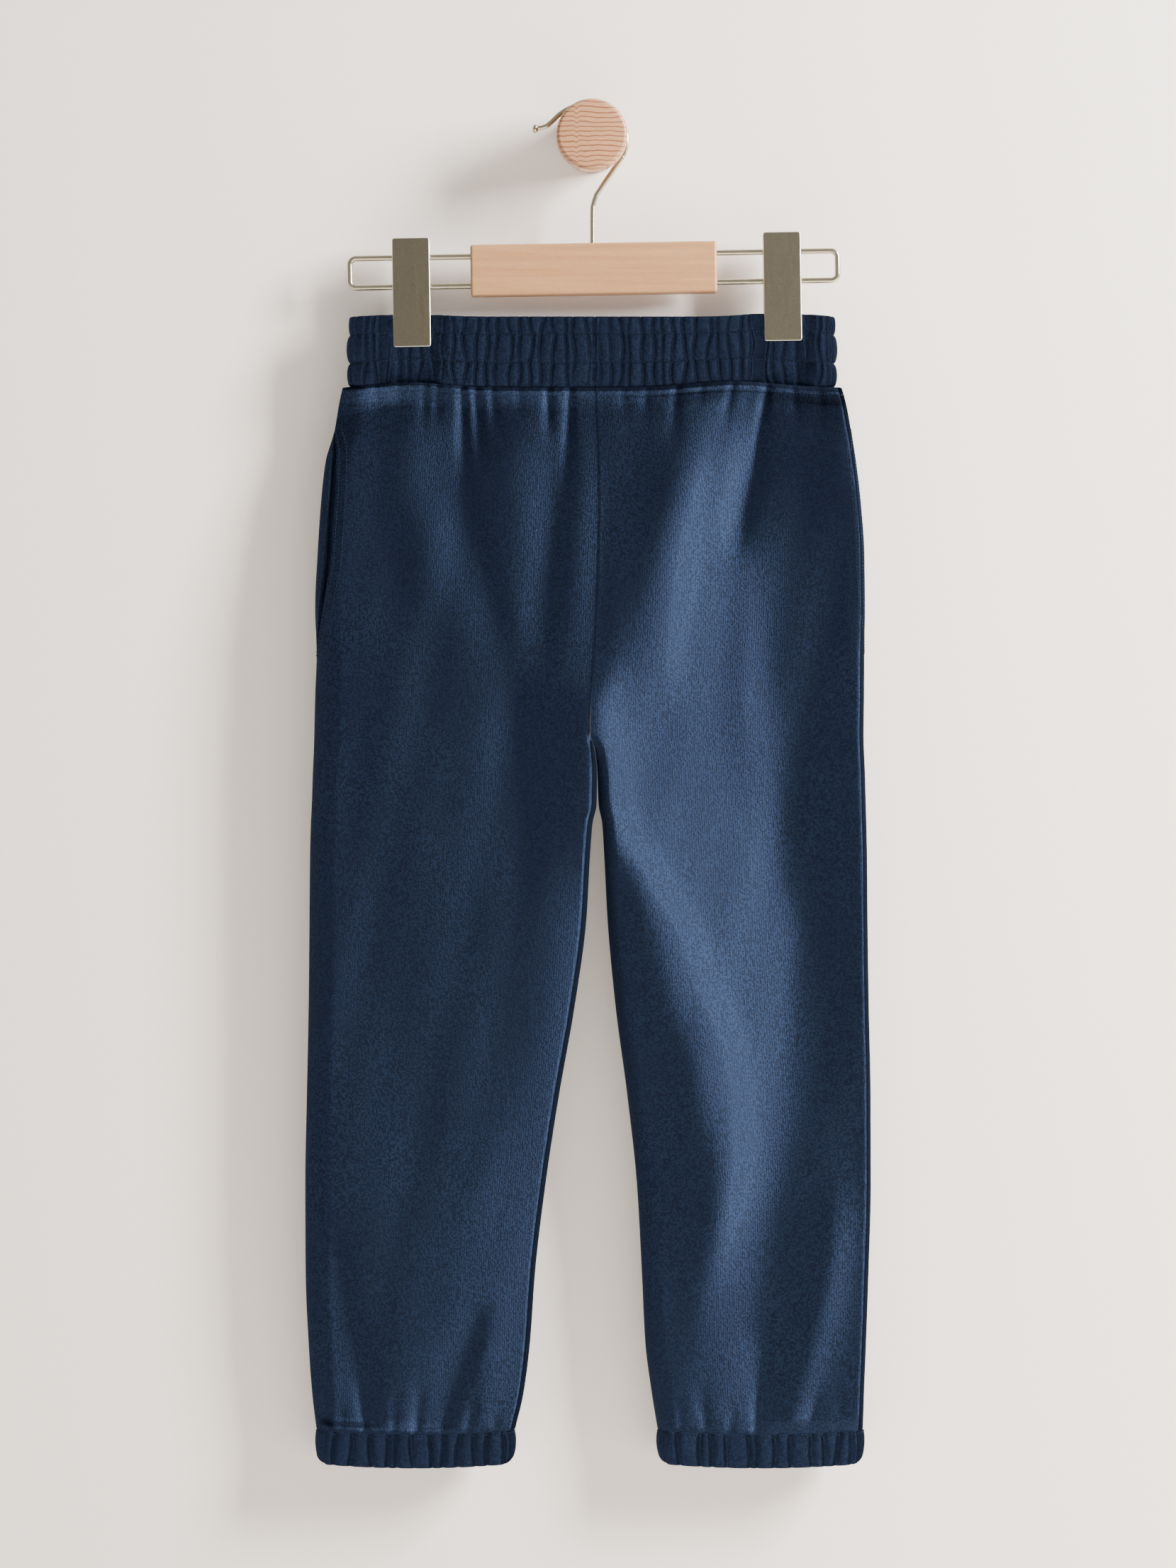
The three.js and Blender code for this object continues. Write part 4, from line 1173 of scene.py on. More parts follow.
    def panel(self, side: Side, half: Half) -> bpy.types.Object:
        """Builds one panel as a shell that turns in at its seams."""
        levels = self.levels()[:, None]
        start = self.edge_column(side, half, levels)
        turned = self.side_steps
        flat_end = turned + self.flat_steps
        last = flat_end + self.inner_steps
        round_side = lerp(start, float(turned), np.linspace(0, 1, self.side_columns)[None, :-1])
        flat = np.linspace(turned, flat_end, self.flat_columns)[None, :-1]
        way = np.linspace(0, 1, self.inner_columns)[None]
        closing = flat_end + self.inner_steps * (1 - (1 - way) ** 1.4)
        columns = np.concatenate(
            [round_side, np.broadcast_to(flat, (len(levels), flat.shape[1])),
             np.broadcast_to(np.minimum(closing, last), (len(levels), closing.shape[1]))], axis=1
        )
        points = self.surface(side, half, columns, np.broadcast_to(levels, columns.shape))
        across = run_length(points, 1)
        middle = across[:, columns.shape[1] // 2, None]
        grid = Grid(points, across - middle, points[..., 2])
        flip = (side is Side.RIGHT) == (half is Half.BACK)
        name = f"{half.name.lower()}_panel_{side.value}_cloth"
        piece = grid_mesh(name, grid, ring=False, flip=flip)
        finish_with(piece, "SOLIDIFY", thickness=FLEECE * MM, offset=-1.0)
        smooth_shading(piece, 55)
        return piece

    def pocket_facing(self, side: Side) -> bpy.types.Object:
        """Builds the strip of cloth behind a pocket's mouth."""
        levels = np.linspace(-174, -282, 55)[:, None]
        first = self.edge_column(side, Half.BACK, levels) + 0.75
        columns = lerp(first, -0.75, np.linspace(0, 1, 19)[None])
        heights = np.broadcast_to(levels, columns.shape)
        outward = self.outward(side, Half.BACK, columns, heights)
        outward[..., 2] = 0
        outward /= np.linalg.norm(outward, axis=-1, keepdims=True)
        drop = FLEECE + (1.8 if side is Side.LEFT else 1.05)
        points = self.surface(side, Half.BACK, columns, heights) - outward * drop
        grid = Grid(points, run_length(points, 1), points[..., 2])
        piece = grid_mesh(f"pocket_facing_{side.value}_cloth", grid, ring=False, flip=side is Side.LEFT)
        finish_with(piece, "SOLIDIFY", thickness=self.facing * MM, offset=-1.0)
        smooth_shading(piece, 55)
        return piece

    def waist_row(self, side: Side, half: Half) -> tuple[np.ndarray, np.ndarray]:
        """The sewn row below the waist seam on one panel."""
        columns = np.linspace(0.1, self.side_steps + self.flat_steps + self.inner_steps - 0.05, 400)
        z = np.full_like(columns, self.waist_bottom - GAP - WAIST_TOPSTITCH)
        return self.surface(side, half, columns, z), self.outward(side, half, columns, z)

    def pocket_row(self, side: Side, inset: float) -> tuple[np.ndarray, np.ndarray]:
        """A sewn row beside the pocket's mouth on the back panel, inset from its edge."""
        z = np.linspace(-164, -292, 200)
        start = self.edge_column(side, Half.BACK, z)
        tries = start[:, None] + np.linspace(0, 2.6, 60)[None]
        points = self.surface(side, Half.BACK, tries, np.broadcast_to(z[:, None], tries.shape))
        lengths = run_length(points, 1)
        columns = np.array([np.interp(inset, lengths[row], tries[row]) for row in range(len(z))])
        return self.surface(side, Half.BACK, columns, z), self.outward(side, Half.BACK, columns, z)


# Rings of gathered cloth


@dataclass
class GatheredRing:
    """A flat ring of cloth over elastic, in even rows of gathers that vary from one to the next."""

    name: str
    node: str
    left: float
    right: float
    top: float
    bottom: float
    half_depth: float
    end_round: float
    gathers: int
    gather_depth: float
    groove_width: float
    stagger: float
    slant: float
    seed: int
    rows: tuple[float, ...]
    puffs: tuple[float, ...]
    rolled_top: bool
    levels_per_row: int
    samples: tuple[float, ...]
    inside_drop: float = 1.6
    roll_share: float = 0.04

    def depth_at(self, x: np.ndarray) -> np.ndarray:
        """Half depth of the plain ring at each x."""
        return np.full_like(x, self.half_depth)

    def press_at(self, x: np.ndarray) -> np.ndarray:
        """How far something presses the puffs flat."""
        return np.zeros_like(x)

    def strength_at(self, x: np.ndarray, y: np.ndarray) -> np.ndarray:
        """How strong the gathers are at each place."""
        return np.ones_like(x)

    def seam_at(self, x: np.ndarray, y: np.ndarray) -> np.ndarray:
        """How far a seam across the ring pulls it in."""
        return np.zeros_like(x)

    def height_at(self, share: np.ndarray, x: np.ndarray) -> np.ndarray:
        """Height of a level, a share of the way down."""
        return lerp(self.top, self.bottom, share) + np.zeros_like(x)

    def point(self, share: np.ndarray) -> tuple[np.ndarray, np.ndarray]:
        """x and y on the plain ring, a share of the way round from the middle of its left end."""
        straight = self.right - self.left - 2 * self.end_round
        end_depth = float(self.depth_at(np.array([self.left]))[0])
        cap = math.pi * math.sqrt((self.end_round**2 + end_depth**2) / 2)
        half_way = cap + straight
        way = np.mod(share, 1.0) * 2 * half_way
        front = way >= half_way
        way = np.where(front, way - half_way, way)
        first = way < cap / 2
        middle = way <= cap / 2 + straight
        opening = way / (cap / 2) * (math.pi / 2)
        closing = (way - cap / 2 - straight) / (cap / 2) * (math.pi / 2)
        across = np.where(
            first,
            self.end_round * (1 - np.cos(opening)),
            np.where(
                middle,
                self.end_round + way - cap / 2,
                self.end_round + straight + self.end_round * np.sin(closing),
            ),
        )
        bulge = np.where(first, np.sin(opening), np.where(middle, 1.0, np.cos(closing)))
        x = np.where(front, self.right - across, self.left + across)
        y = GARMENT_Y + np.where(front, 1, -1) * self.depth_at(x) * bulge
        return x, y

    def girth(self) -> float:
        """Length round the plain ring."""
        x, y = self.point(np.linspace(0, 1, 721))
        return float(np.sum(np.hypot(np.diff(x), np.diff(y))))

    def puff_at(self, share: np.ndarray) -> np.ndarray:
        """How far the rows of stuffing stand out at each level, and how open the gathers are there."""
        total = np.zeros_like(share)
        for first, last, puff in zip(self.rows[:-1], self.rows[1:], self.puffs):
            way = (share - first) / (last - first)
            inside = np.clip(4 * way * (1 - way), 0, 1)
            total += np.where((way >= 0) & (way <= 1), puff * inside**0.55, 0.0)
        return total

    def grooves(self, shares: np.ndarray) -> np.ndarray:
        """Where each groove lies round the ring at each level, in gathers, and past the last one."""
        draw = np.random.default_rng(self.seed)
        base = np.arange(self.gathers) + draw.uniform(-self.stagger, self.stagger, self.gathers)
        shifts = draw.uniform(-self.slant, self.slant, (len(self.rows), self.gathers))
        bows = draw.uniform(-self.slant, self.slant, (len(self.rows) - 1, self.gathers)) * 0.6
        places = np.stack([np.interp(shares, self.rows, shifts[:, n]) for n in range(self.gathers)], axis=1)
        for row, (first, last) in enumerate(zip(self.rows[:-1], self.rows[1:])):
            way = np.clip((shares - first) / (last - first), 0, 1)
            places += np.sin(math.pi * way)[:, None] * bows[row][None]
        places += base[None]
        closed = np.concatenate([places, places[:, :1] + self.gathers], axis=1)
        gaps = np.maximum(np.diff(closed, axis=1), 0.34)
        gaps *= self.gathers / gaps.sum(axis=1, keepdims=True)
        return np.concatenate([closed[:, :1], closed[:, :1] + np.cumsum(gaps, axis=1)], axis=1)

    def depths(self, shares: np.ndarray) -> np.ndarray:
        """How deep each groove is at each level, as a share of the deepest."""
        draw = np.random.default_rng(self.seed + 1)
        rows = draw.uniform(0.45, 1.0, (len(self.rows) - 1, self.gathers))
        faint = draw.uniform(0, 1, rows.shape) < 0.1
        rows = np.where(faint, rows * 0.3, rows)
        centres = [(first + last) / 2 for first, last in zip(self.rows[:-1], self.rows[1:])]
        return np.stack([np.interp(shares, centres, rows[:, n]) for n in range(self.gathers)], axis=1)

    def outer(self, shares: np.ndarray) -> tuple[np.ndarray, np.ndarray, np.ndarray, np.ndarray]:
        """The gathered outer face at each level.

        Args:
            shares: the levels, as shares of the height from the top.

        Returns:
            Places round the ring, plain points, outward directions and how far the cloth stands out.
        """
        draw = np.random.default_rng(self.seed + 2)
        tilt = draw.uniform(-0.5, 0.4, self.gathers)
        grooves = self.grooves(shares)
        deep = self.depths(shares)
        closed_deep = np.concatenate([deep, deep[:, :1]], axis=1)
        along = np.array(self.samples)
        gap = np.diff(grooves, axis=1)
        places = grooves[:, :-1, None] + gap[:, :, None] * along[None, None]
        from_left = gap[:, :, None] * along * self.girth() / self.gathers
        from_right = gap[:, :, None] * (1 - along) * self.girth() / self.gathers
        relief = -closed_deep[:, :-1, None] * bell(from_left, self.groove_width)
        relief = relief - closed_deep[:, 1:, None] * bell(from_right, self.groove_width)
        mean_deep = (closed_deep[:, :-1] + closed_deep[:, 1:])[:, :, None] / 2
        relief = relief + 0.28 * mean_deep * (1 - (2 * along - 1) ** 2)
        relief = relief + mean_deep * tilt[None, :, None] * (along - 0.5) * (1 - bell(from_left, 0.5))
        flat_shape = (len(shares), -1)
        share_round = (places / self.gathers).reshape(flat_shape)
        x, y = self.point(share_round)
        step = 0.02 / self.gathers
        ahead = np.stack(self.point(share_round + step), axis=-1)
        behind = np.stack(self.point(share_round - step), axis=-1)
        tangent = ahead - behind
        tangent /= np.maximum(np.linalg.norm(tangent, axis=-1, keepdims=True), 1e-9)
        outward = np.stack([tangent[..., 1], -tangent[..., 0]], axis=-1)
        puff = self.puff_at(shares)
        most = max(self.puffs)
        opened = 0.45 + 0.55 * np.clip(puff / most, 0, 1)
        press = self.press_at(x)
        gathered = relief.reshape(flat_shape) * self.gather_depth * opened[:, None] * self.strength_at(x, y)
        lifted = puff[:, None] * (1 - press) + gathered * (1 - 0.5 * press) - self.seam_at(x, y)
        return share_round, np.stack([x, y], axis=-1), outward, lifted

    def build(self) -> bpy.types.Object:
        """Builds the ring as one closed wall: its outer face, a rolled edge and a plain inside."""
        steps = [
            np.linspace(first, last, self.levels_per_row + 1)[:-1]
            for first, last in zip(self.rows[:-1], self.rows[1:])
        ]
        shares = np.concatenate([*steps, [1.0]])
        end = 0.0 if self.rolled_top else 1.0
        turn_in = abs(end - self.roll_share)
        shares = np.unique(np.append(shares[np.abs(shares - end) > self.roll_share], turn_in))
        if self.rolled_top:
            shares = shares[::-1]
        _, plain, outward, lifted = self.outer(shares)
        x = plain[..., 0]
        layers = [(lifted, self.height_at(shares[:, None], x), plain, outward)]
        over = np.radians(np.array([18, 40, 65, 90, 115, 140, 162]))[:, None]
        rim_plain = plain[-1][None]
        rim_out = outward[-1][None]
        rim_x = x[-1][None]
        inside = -self.inside_drop
        turned = inside + (lifted[-1][None] - inside) * (1 + np.cos(over)) / 2
        start_z = self.height_at(np.array([[turn_in]]), rim_x)
        end_z = self.height_at(np.array([[end]]), rim_x) - 0.25 * np.minimum(lifted[-1][None] - 0.6, 0) * (
            -1 if self.rolled_top else 1
        )
        rolled_z = start_z + (end_z - start_z) * np.sin(over)
        layers.append((turned, rolled_z, rim_plain + 0 * turned[..., None], rim_out + 0 * turned[..., None]))
        back = shares[::-1][:: max(1, len(shares) // 9)]
        back = np.append(back, shares[0])
        _, inner_plain, inner_out, _ = self.outer(back)
        inner_x = inner_plain[..., 0]
        inner_lift = np.full(inner_x.shape, inside)
        layers.append((inner_lift, self.height_at(back[:, None], inner_x), inner_plain, inner_out))
        grids = []
        for lift, height, flat, out in layers:
            ground = flat + out * lift[..., None]
            grids.append(np.concatenate([ground, height[..., None]], axis=-1))
        points = np.concatenate(grids)
        looped = np.concatenate([points, points[:, :1]], axis=1)
        looped = np.concatenate([looped, looped[:1]])
        grid = Grid(points, run_length(looped, 1), run_length(looped, 0))
        piece = grid_mesh(self.name, grid, ring=True, flip=self.rolled_top)
        smooth_shading(piece, 60)
        return piece

    def sewn_row(self, share: float) -> tuple[np.ndarray, np.ndarray]:
        """A sewn row all round the ring at one level."""
        _, plain, outward, lifted = self.outer(np.array([share]))
        kernel = np.ones(5) / 5
        padded = np.concatenate([lifted[0, -2:], lifted[0], lifted[0, :2]])
        taut = np.convolve(padded, kernel, mode="valid") + 0.1
        ground = plain[0] + outward[0] * taut[:, None]
        height = self.height_at(np.array([share]), plain[0, :, 0])
        path = np.concatenate([ground, height[:, None]], axis=-1)
        away = np.concatenate([outward[0], np.zeros((len(ground), 1))], axis=-1)
        return np.concatenate([path, path[:1]]), np.concatenate([away, away[:1]])


class Waistband(GatheredRing):
    """The elastic waist: three puffed rows, nearly flat at the centre seam and pressed by the clips."""

    centre_x: float = 1.6
    clipped_depth: float = 2.6
    pressed: float = 0.6

    def depth_at(self, x: np.ndarray) -> np.ndarray:
        """Half depth of the plain ring at each x."""
        return lerp(self.half_depth, self.clipped_depth, BAND_PINCH.at(x, np.full_like(x, self.top)))

    def press_at(self, x: np.ndarray) -> np.ndarray:
        """How far the clips press the puffs flat."""
        return self.pressed * BAND_PINCH.at(x, np.full_like(x, self.top))

    def strength_at(self, x: np.ndarray, y: np.ndarray) -> np.ndarray:
        """How strong the gathers are at each place."""
        return 1 - 0.8 * bell(x - self.centre_x, 6.0)

    def seam_at(self, x: np.ndarray, y: np.ndarray) -> np.ndarray:
        """How far the seam at the middle of the back pulls the band in."""
        return 1.1 * bell(x - self.centre_x, 0.7) * (y < GARMENT_Y)

    def height_at(self, share: np.ndarray, x: np.ndarray) -> np.ndarray:
        """Height of a level, a share of the way down."""
        top = self.top + rise_at(TOP_EDGE_RISES, x)
        return lerp(top, self.bottom + rise_at(WAIST_SEAM_RISES, x), share)


class Hem(GatheredRing):
    """An elastic hem whose lower corners are round and whose middle sags."""

    sag: float = 2.6
    corner: float = 6.5

    def sag_at(self, x: np.ndarray) -> np.ndarray:
        """How far the hem hangs down at each x."""
        share = np.clip((x - self.left) / (self.right - self.left), 0, 1)
        return self.sag * (1 - (2 * share - 1) ** 2)

    def height_at(self, share: np.ndarray, x: np.ndarray) -> np.ndarray:
        """Height of a level, a share of the way down."""
        away = np.clip(np.minimum(x - self.left, self.right - x), 0, self.corner)
        lift = self.corner - np.sqrt(self.corner**2 - (self.corner - away) ** 2)
        return lerp(self.top, self.bottom + lift, share) - self.sag_at(x)


WAISTBAND = Waistband(
    name="waistband_cloth", node="waistband", left=-136.2, right=136.4, top=-101.0, bottom=-140.85,
    half_depth=7.0, end_round=8.0, gathers=90, gather_depth=1.5, groove_width=0.62,
    stagger=0.14, slant=0.26, seed=11, rows=(0.0, 0.264, 0.668, 1.0), puffs=(1.0, 2.1, 1.9),
    rolled_top=True, levels_per_row=15,
    samples=(0.0, 0.05, 0.1, 0.17, 0.27, 0.42, 0.58, 0.73, 0.83, 0.9, 0.95),
)


def make_hem(side: Side, left: float, right: float, seed: int) -> Hem:
    """One hem between its two ends."""
    return Hem(
        name=f"hem_{side.value}_cloth", node=f"hem_{side.value}", left=left, right=right, top=-728.0,
        bottom=-747.0, half_depth=8.4, end_round=9.0, gathers=28, gather_depth=1.5, groove_width=1.3,
        stagger=0.28, slant=0.2, seed=seed, rows=(0.0, 1.0), puffs=(1.1,), rolled_top=False,
        levels_per_row=26,
        samples=(0.0, 0.04, 0.09, 0.14, 0.2, 0.28, 0.37, 0.46, 0.55, 0.64, 0.73, 0.8, 0.86, 0.91, 0.96),
    )


HEMS = {
    Side.LEFT: make_hem(Side.LEFT, -155.2, -43.9, 23),
    Side.RIGHT: make_hem(Side.RIGHT, 37.5, 152.8, 37),
}


@dataclass
class Garment:
    """The sweatpants: panels, facings, waistband, hems and the sewing on them."""

    trousers: Trousers
    fleeces: Fleeces
    thread: bpy.types.Material

    def build(self) -> None:
        """Builds every piece of cloth and every sewn row."""
        self.build_panels()
        self.build_rings()
        self.sew()

    def build_panels(self) -> None:
        """Builds the panels and the pocket facings."""
        for side in Side:
            for half in Half:
                piece = self.trousers.panel(side, half)
                node = f"{half.name.lower()}_panel_{side.value}"
                fleece = self.fleeces.back if half is Half.BACK else self.fleeces.front
                hand_over(piece, fleece, "navy_fleece", node)
            facing = self.trousers.pocket_facing(side)
            hand_over(facing, self.fleeces.front, "navy_fleece", f"pocket_facing_{side.value}")

    def build_rings(self) -> None:
        """Builds the waistband and the hems."""
        band = WAISTBAND.build()
        hand_over(band, self.fleeces.bands, "navy_fleece", WAISTBAND.node)
        for side, hem in HEMS.items():
            ring = hem.build()
            hand_over(ring, self.fleeces.bands, "navy_fleece", hem.node)

    def sew(self) -> None:
        """Adds the sewn rows: at the waist seam, on the waistband, at the pockets and at the hems."""
        seaming = Seaming()
        waist_rows = [self.trousers.waist_row(side, half) for side in Side for half in Half]
        band_rows = [WAISTBAND.sewn_row(share) for share in WAISTBAND.rows[1:-1]]
        pocket_rows = [
            self.trousers.pocket_row(side, inset) for side in Side for inset in self.trousers.pocket_rows
        ]
        hem_rows = [hem.sewn_row(0.07) for hem in HEMS.values()]
        for name, rows in (
            ("waist_seam_stitching", waist_rows),
            ("waistband_stitching", band_rows),
            ("pocket_stitching", pocket_rows),
            ("hem_stitching", hem_rows),
        ):
            hand_over(seaming.sew(name, rows), self.thread, "navy_fleece")


# The hanger and the knob


def block(
    name: str, size: tuple[float, float, float], place: tuple[float, float, float]
) -> bpy.types.Object:
    """A block of this size at this place, in metres, with its place in its mesh."""
    deselect()
    bpy.ops.mesh.primitive_cube_add(size=1.0, location=place, scale=size)
    return settle_new(name)


def rod(
    name: str, radius: float, length: float, place: tuple[float, float, float], along: str
) -> bpy.types.Object:
    """A round rod along x or z, in metres, with its place in its mesh."""
    deselect()
    turn = (0, math.pi / 2, 0) if along == "x" else (0, 0, 0)
    bpy.ops.mesh.primitive_cylinder_add(
        vertices=32, radius=radius, depth=length, location=place, rotation=turn
    )
    return settle_new(name)


def cut(piece: bpy.types.Object, cutters: Sequence[bpy.types.Object], how: str) -> None:
    """Cuts or joins other solids with a piece, and removes them."""
    for cutter in cutters:
        finish_with(piece, "BOOLEAN", operation=how, object=cutter, solver="EXACT")
        bpy.data.objects.remove(cutter)


def smooth_route(points: np.ndarray, steps: int) -> np.ndarray:
    """A rounder route through the same points, in short steps."""
    ends = np.concatenate([points[:1], points, points[-1:]])
    parts = []
    for n in range(len(points) - 1):
        before, start, end, after = ends[n : n + 4]
        t = np.linspace(0, 1, steps, endpoint=False)[:, None]
        parts.append(
            0.5 * (
                2 * start + (end - before) * t
                + (2 * before - 5 * start + 4 * end - after) * t**2
                + (3 * start - before - 3 * end + after) * t**3
            )
        )
    return np.concatenate([*parts, points[-1:]])


def bent_wire(name: str, route: np.ndarray, radius: float, sides: int) -> bpy.types.Object:
    """A round wire along a route, as a closed mesh.

    Args:
        name: the piece's name.
        route: its centre line, in millimetres.
        radius: the wire's radius, in millimetres.
        sides: a quarter of its sides, less one.

    Returns:
        The new object, in metres.
    """
    curve = bpy.data.curves.new(name, "CURVE")
    curve.dimensions = "3D"
    spline = curve.splines.new("POLY")
    spline.points.add(len(route) - 1)
    for point, place in zip(spline.points, route):
        point.co = (*(float(value) * MM for value in place), 1.0)
    curve.bevel_depth = radius * MM
    curve.bevel_resolution = sides
    curve.use_fill_caps = True
    pick(put_in_scene(name, curve))
    bpy.ops.object.convert(target="MESH")
    made = bpy.context.object
    bpy.ops.object.mode_set(mode="EDIT")
    bpy.ops.mesh.select_all(action="SELECT")
    bpy.ops.mesh.remove_doubles(threshold=1e-6)
    bpy.ops.mesh.normals_make_consistent(inside=False)
    bpy.ops.object.mode_set(mode="OBJECT")
    smooth_shading(made, 50)
    return made


def arc(centre: tuple[float, float], radius: float, first: float, last: float, steps: int) -> np.ndarray:
    """Points of an arc in the upright plane y = 0, by its angles in degrees."""
    angles = np.radians(np.linspace(first, last, steps + 1))
    return np.stack(
        [centre[0] + radius * np.cos(angles), 0 * angles, centre[1] + radius * np.sin(angles)], axis=-1
    )


@dataclass
class Clip:
    """A clip of two plates, sprung apart at the top and shut at the bottom on the cloth."""

    side: Side
    x: float
    width: float = 21.2
    height: float = 61.5
    thickness: float = 1.6
    corner: float = 1.4
    edge: float = 0.6
    z: float = -11.75
    half_gap: float = 4.2
    spring_z: float = -2.45
    spring_length: float = 15.2
    coil_radius: float = 3.35
    coil_wire: float = 0.5
    turns: int = 10

    def plate(self, part: str, face: int) -> bpy.types.Object:
        """One plate, with round corners and a rolled edge."""
        name = f"clip_{self.side.value}_{part}_plate_metal"
        away = face * (self.half_gap + self.thickness / 2)
        size = (self.width * MM, self.thickness * MM, self.height * MM)
        made = block(name, size, (self.x * MM, away * MM, self.z * MM))
        bpy.ops.object.mode_set(mode="EDIT")
        bpy.ops.mesh.select_all(action="DESELECT")
        shape = bmesh.from_edit_mesh(made.data)
        for line in shape.edges:
            run = line.verts[0].co - line.verts[1].co
            line.select = abs(run.y) > 0.9 * run.length
        bmesh.update_edit_mesh(made.data)
        bpy.ops.mesh.bevel(offset=self.corner * MM, segments=6, affect="EDGES")
        bpy.ops.object.mode_set(mode="OBJECT")
        steep = math.radians(50)
        finish_with(
            made, "BEVEL", width=self.edge * MM, segments=3, limit_method="ANGLE", angle_limit=steep
        )
        smooth_shading(made, 40)
        finish_with(made, "WEIGHTED_NORMAL", keep_sharp=True)
        return made

    def spring(self) -> bpy.types.Object:
        """The coil between the plates, on its pin, with a leg pressing on each plate."""
        turn = np.linspace(0, 2 * math.pi * self.turns, 24 * self.turns + 1)
        along = (turn / turn[-1] - 0.5) * self.spring_length
        coil = np.stack(
            [
                self.x + along,
                self.coil_radius * np.cos(turn),
                self.spring_z + self.coil_radius * np.sin(turn),
            ],
            axis=-1,
        )
        ends = np.array([[0.0, 0.0, -8.0], [0.0, 0.0, 8.0]])
        route = np.concatenate([coil[:1] + ends[:1], coil, coil[-1:] + ends[:1]])
        made = bent_wire(f"clip_{self.side.value}_coil_spring", route, self.coil_wire, 1)
        pin = rod(
            f"clip_{self.side.value}_pin", 1.3 * MM, (self.spring_length + 0.8) * MM,
            (self.x * MM, 0.0, self.spring_z * MM), "x",
        )
        pick(made)
        pin.select_set(True)
        bpy.ops.object.join()
        smooth_shading(made, 50)
        return made


@dataclass
class Hanger:
    """A beech bar with a wire loop at each end, two clips on the loops and a hook."""

    place: tuple[float, float, float] = (1.0, -20.0, -73.9)
    tilt: float = 0.92
    bar: tuple[float, float, float] = (138.8, 14.0, 28.8)
    bar_edge: float = 1.5
    wire: float = 1.65
    half_spacing: float = 8.3
    half_length: float = 137.6
    bend: float = 3.6
    socket: float = 12.0
    hook_wire: float = 1.45
    stem_x: float = 0.36
    stem_bottom: float = -68.0
    corner_z: float = -34.9
    corner_round: float = 6.0
    arc_centre: tuple[float, float] = (-0.4, -0.7)
    arc_radius: float = 20.05
    arc_angles: tuple[float, float] = (-34.4, 104.0)
    tail: tuple[tuple[float, float], ...] = (
        (-12.0, 17.4), (-18.0, 13.9), (-22.6, 9.6), (-26.4, 6.7), (-31.6, 5.6)
    )
    end_ball: tuple[float, float] = (-32.0, 5.5)

    def settle(self, piece: bpy.types.Object) -> bpy.types.Object:
        """Moves a piece from the hanger's own frame to where the hanger hangs, a little tilted."""
        hung = Matrix.Translation([value * MM for value in self.place])
        piece.data.transform(hung @ Matrix.Rotation(-math.radians(self.tilt), 4, "Y"))
        return piece

    def build_bar(self) -> bpy.types.Object:
        """The wooden bar, with sockets for the wires and the hook's stem."""
        size = tuple(value * MM for value in self.bar)
        made = block("hanger_bar_wood", size, (0.0, 0.0, 0.0))
        finish_with(made, "BEVEL", width=self.bar_edge * MM, segments=5, limit_method="NONE")
        deep = (self.socket + GAP) * MM
        wide = (self.wire + GAP) * MM
        spaced = self.half_spacing * MM
        cutters = [
            rod("socket", wide, 2 * deep, (end * size[0] / 2, 0, level * spaced), "x")
            for end in (-1, 1)
            for level in (-1, 1)
        ]
        stem_deep = (self.place[2] + self.bar[2] / 2 - self.stem_bottom + GAP) * MM
        stem_place = ((self.stem_x - self.place[0]) * MM, 0.0, size[2] / 2)
        cutters.append(rod("stem_socket", (self.hook_wire + 1.5 * GAP) * MM, 2 * stem_deep, stem_place, "z"))
        cut(made, cutters, "DIFFERENCE")
        smooth_shading(made, 35)
        finish_with(made, "WEIGHTED_NORMAL", keep_sharp=True)
        return self.settle(made)

    def build_loop(self, side: Side) -> bpy.types.Object:
        """One wire loop: two straight wires out of the bar, joined by two bends."""
        out = -side.inward
        start = self.bar[0] / 2 - self.socket
        bend_x = self.half_length - self.bend
        bend_z = self.half_spacing - self.bend
        route = np.concatenate([
            [[start, 0.0, self.half_spacing]],
            arc((bend_x, bend_z), self.bend, 90, 0, 12),
            arc((bend_x, -bend_z), self.bend, 0, -90, 12),
            [[start, 0.0, -self.half_spacing]],
        ])
        route[:, 0] *= out
        return self.settle(bent_wire(f"wire_loop_{side.value}_wire", route, self.wire, 4))

    def build_hook(self) -> bpy.types.Object:
        """The hook: a stem, a slanted stretch, an arc over the knob's neck and a turned-out ball end."""
        bow = arc(self.arc_centre, self.arc_radius, *self.arc_angles, 24)
        corner = np.array([self.stem_x, 0.0, self.corner_z])
        slant = (bow[0] - corner) / np.linalg.norm(bow[0] - corner)
        turns = []
        for way in (-1.0, -0.4, 0.4, 1.0):
            reach = abs(way) * self.corner_round
            soften = (1 - abs(way)) * 0.125 * self.corner_round
            along = np.array([0.0, 0.0, -reach]) if way < 0 else slant * reach
            turns.append(corner + along + [soften, 0.0, 0.0])
        tail = [[x, 0.0, z] for x, z in self.tail]
        bottom = [[self.stem_x, 0.0, self.stem_bottom]]
        route = smooth_route(np.concatenate([bottom, turns, bow, tail]), 4)
        route[:, 1] = GARMENT_Y
        made = bent_wire("hanger_hook_wire", route, self.hook_wire, 4)
        deselect()
        bpy.ops.mesh.primitive_uv_sphere_add(
            segments=32, ring_count=20, radius=2.6 * MM, scale=(0.7, 1, 1),
            location=(self.end_ball[0] * MM, GARMENT_Y * MM, self.end_ball[1] * MM),
        )
        cut(made, [settle_new("hook_ball")], "UNION")
        smooth_shading(made, 50)
        return made

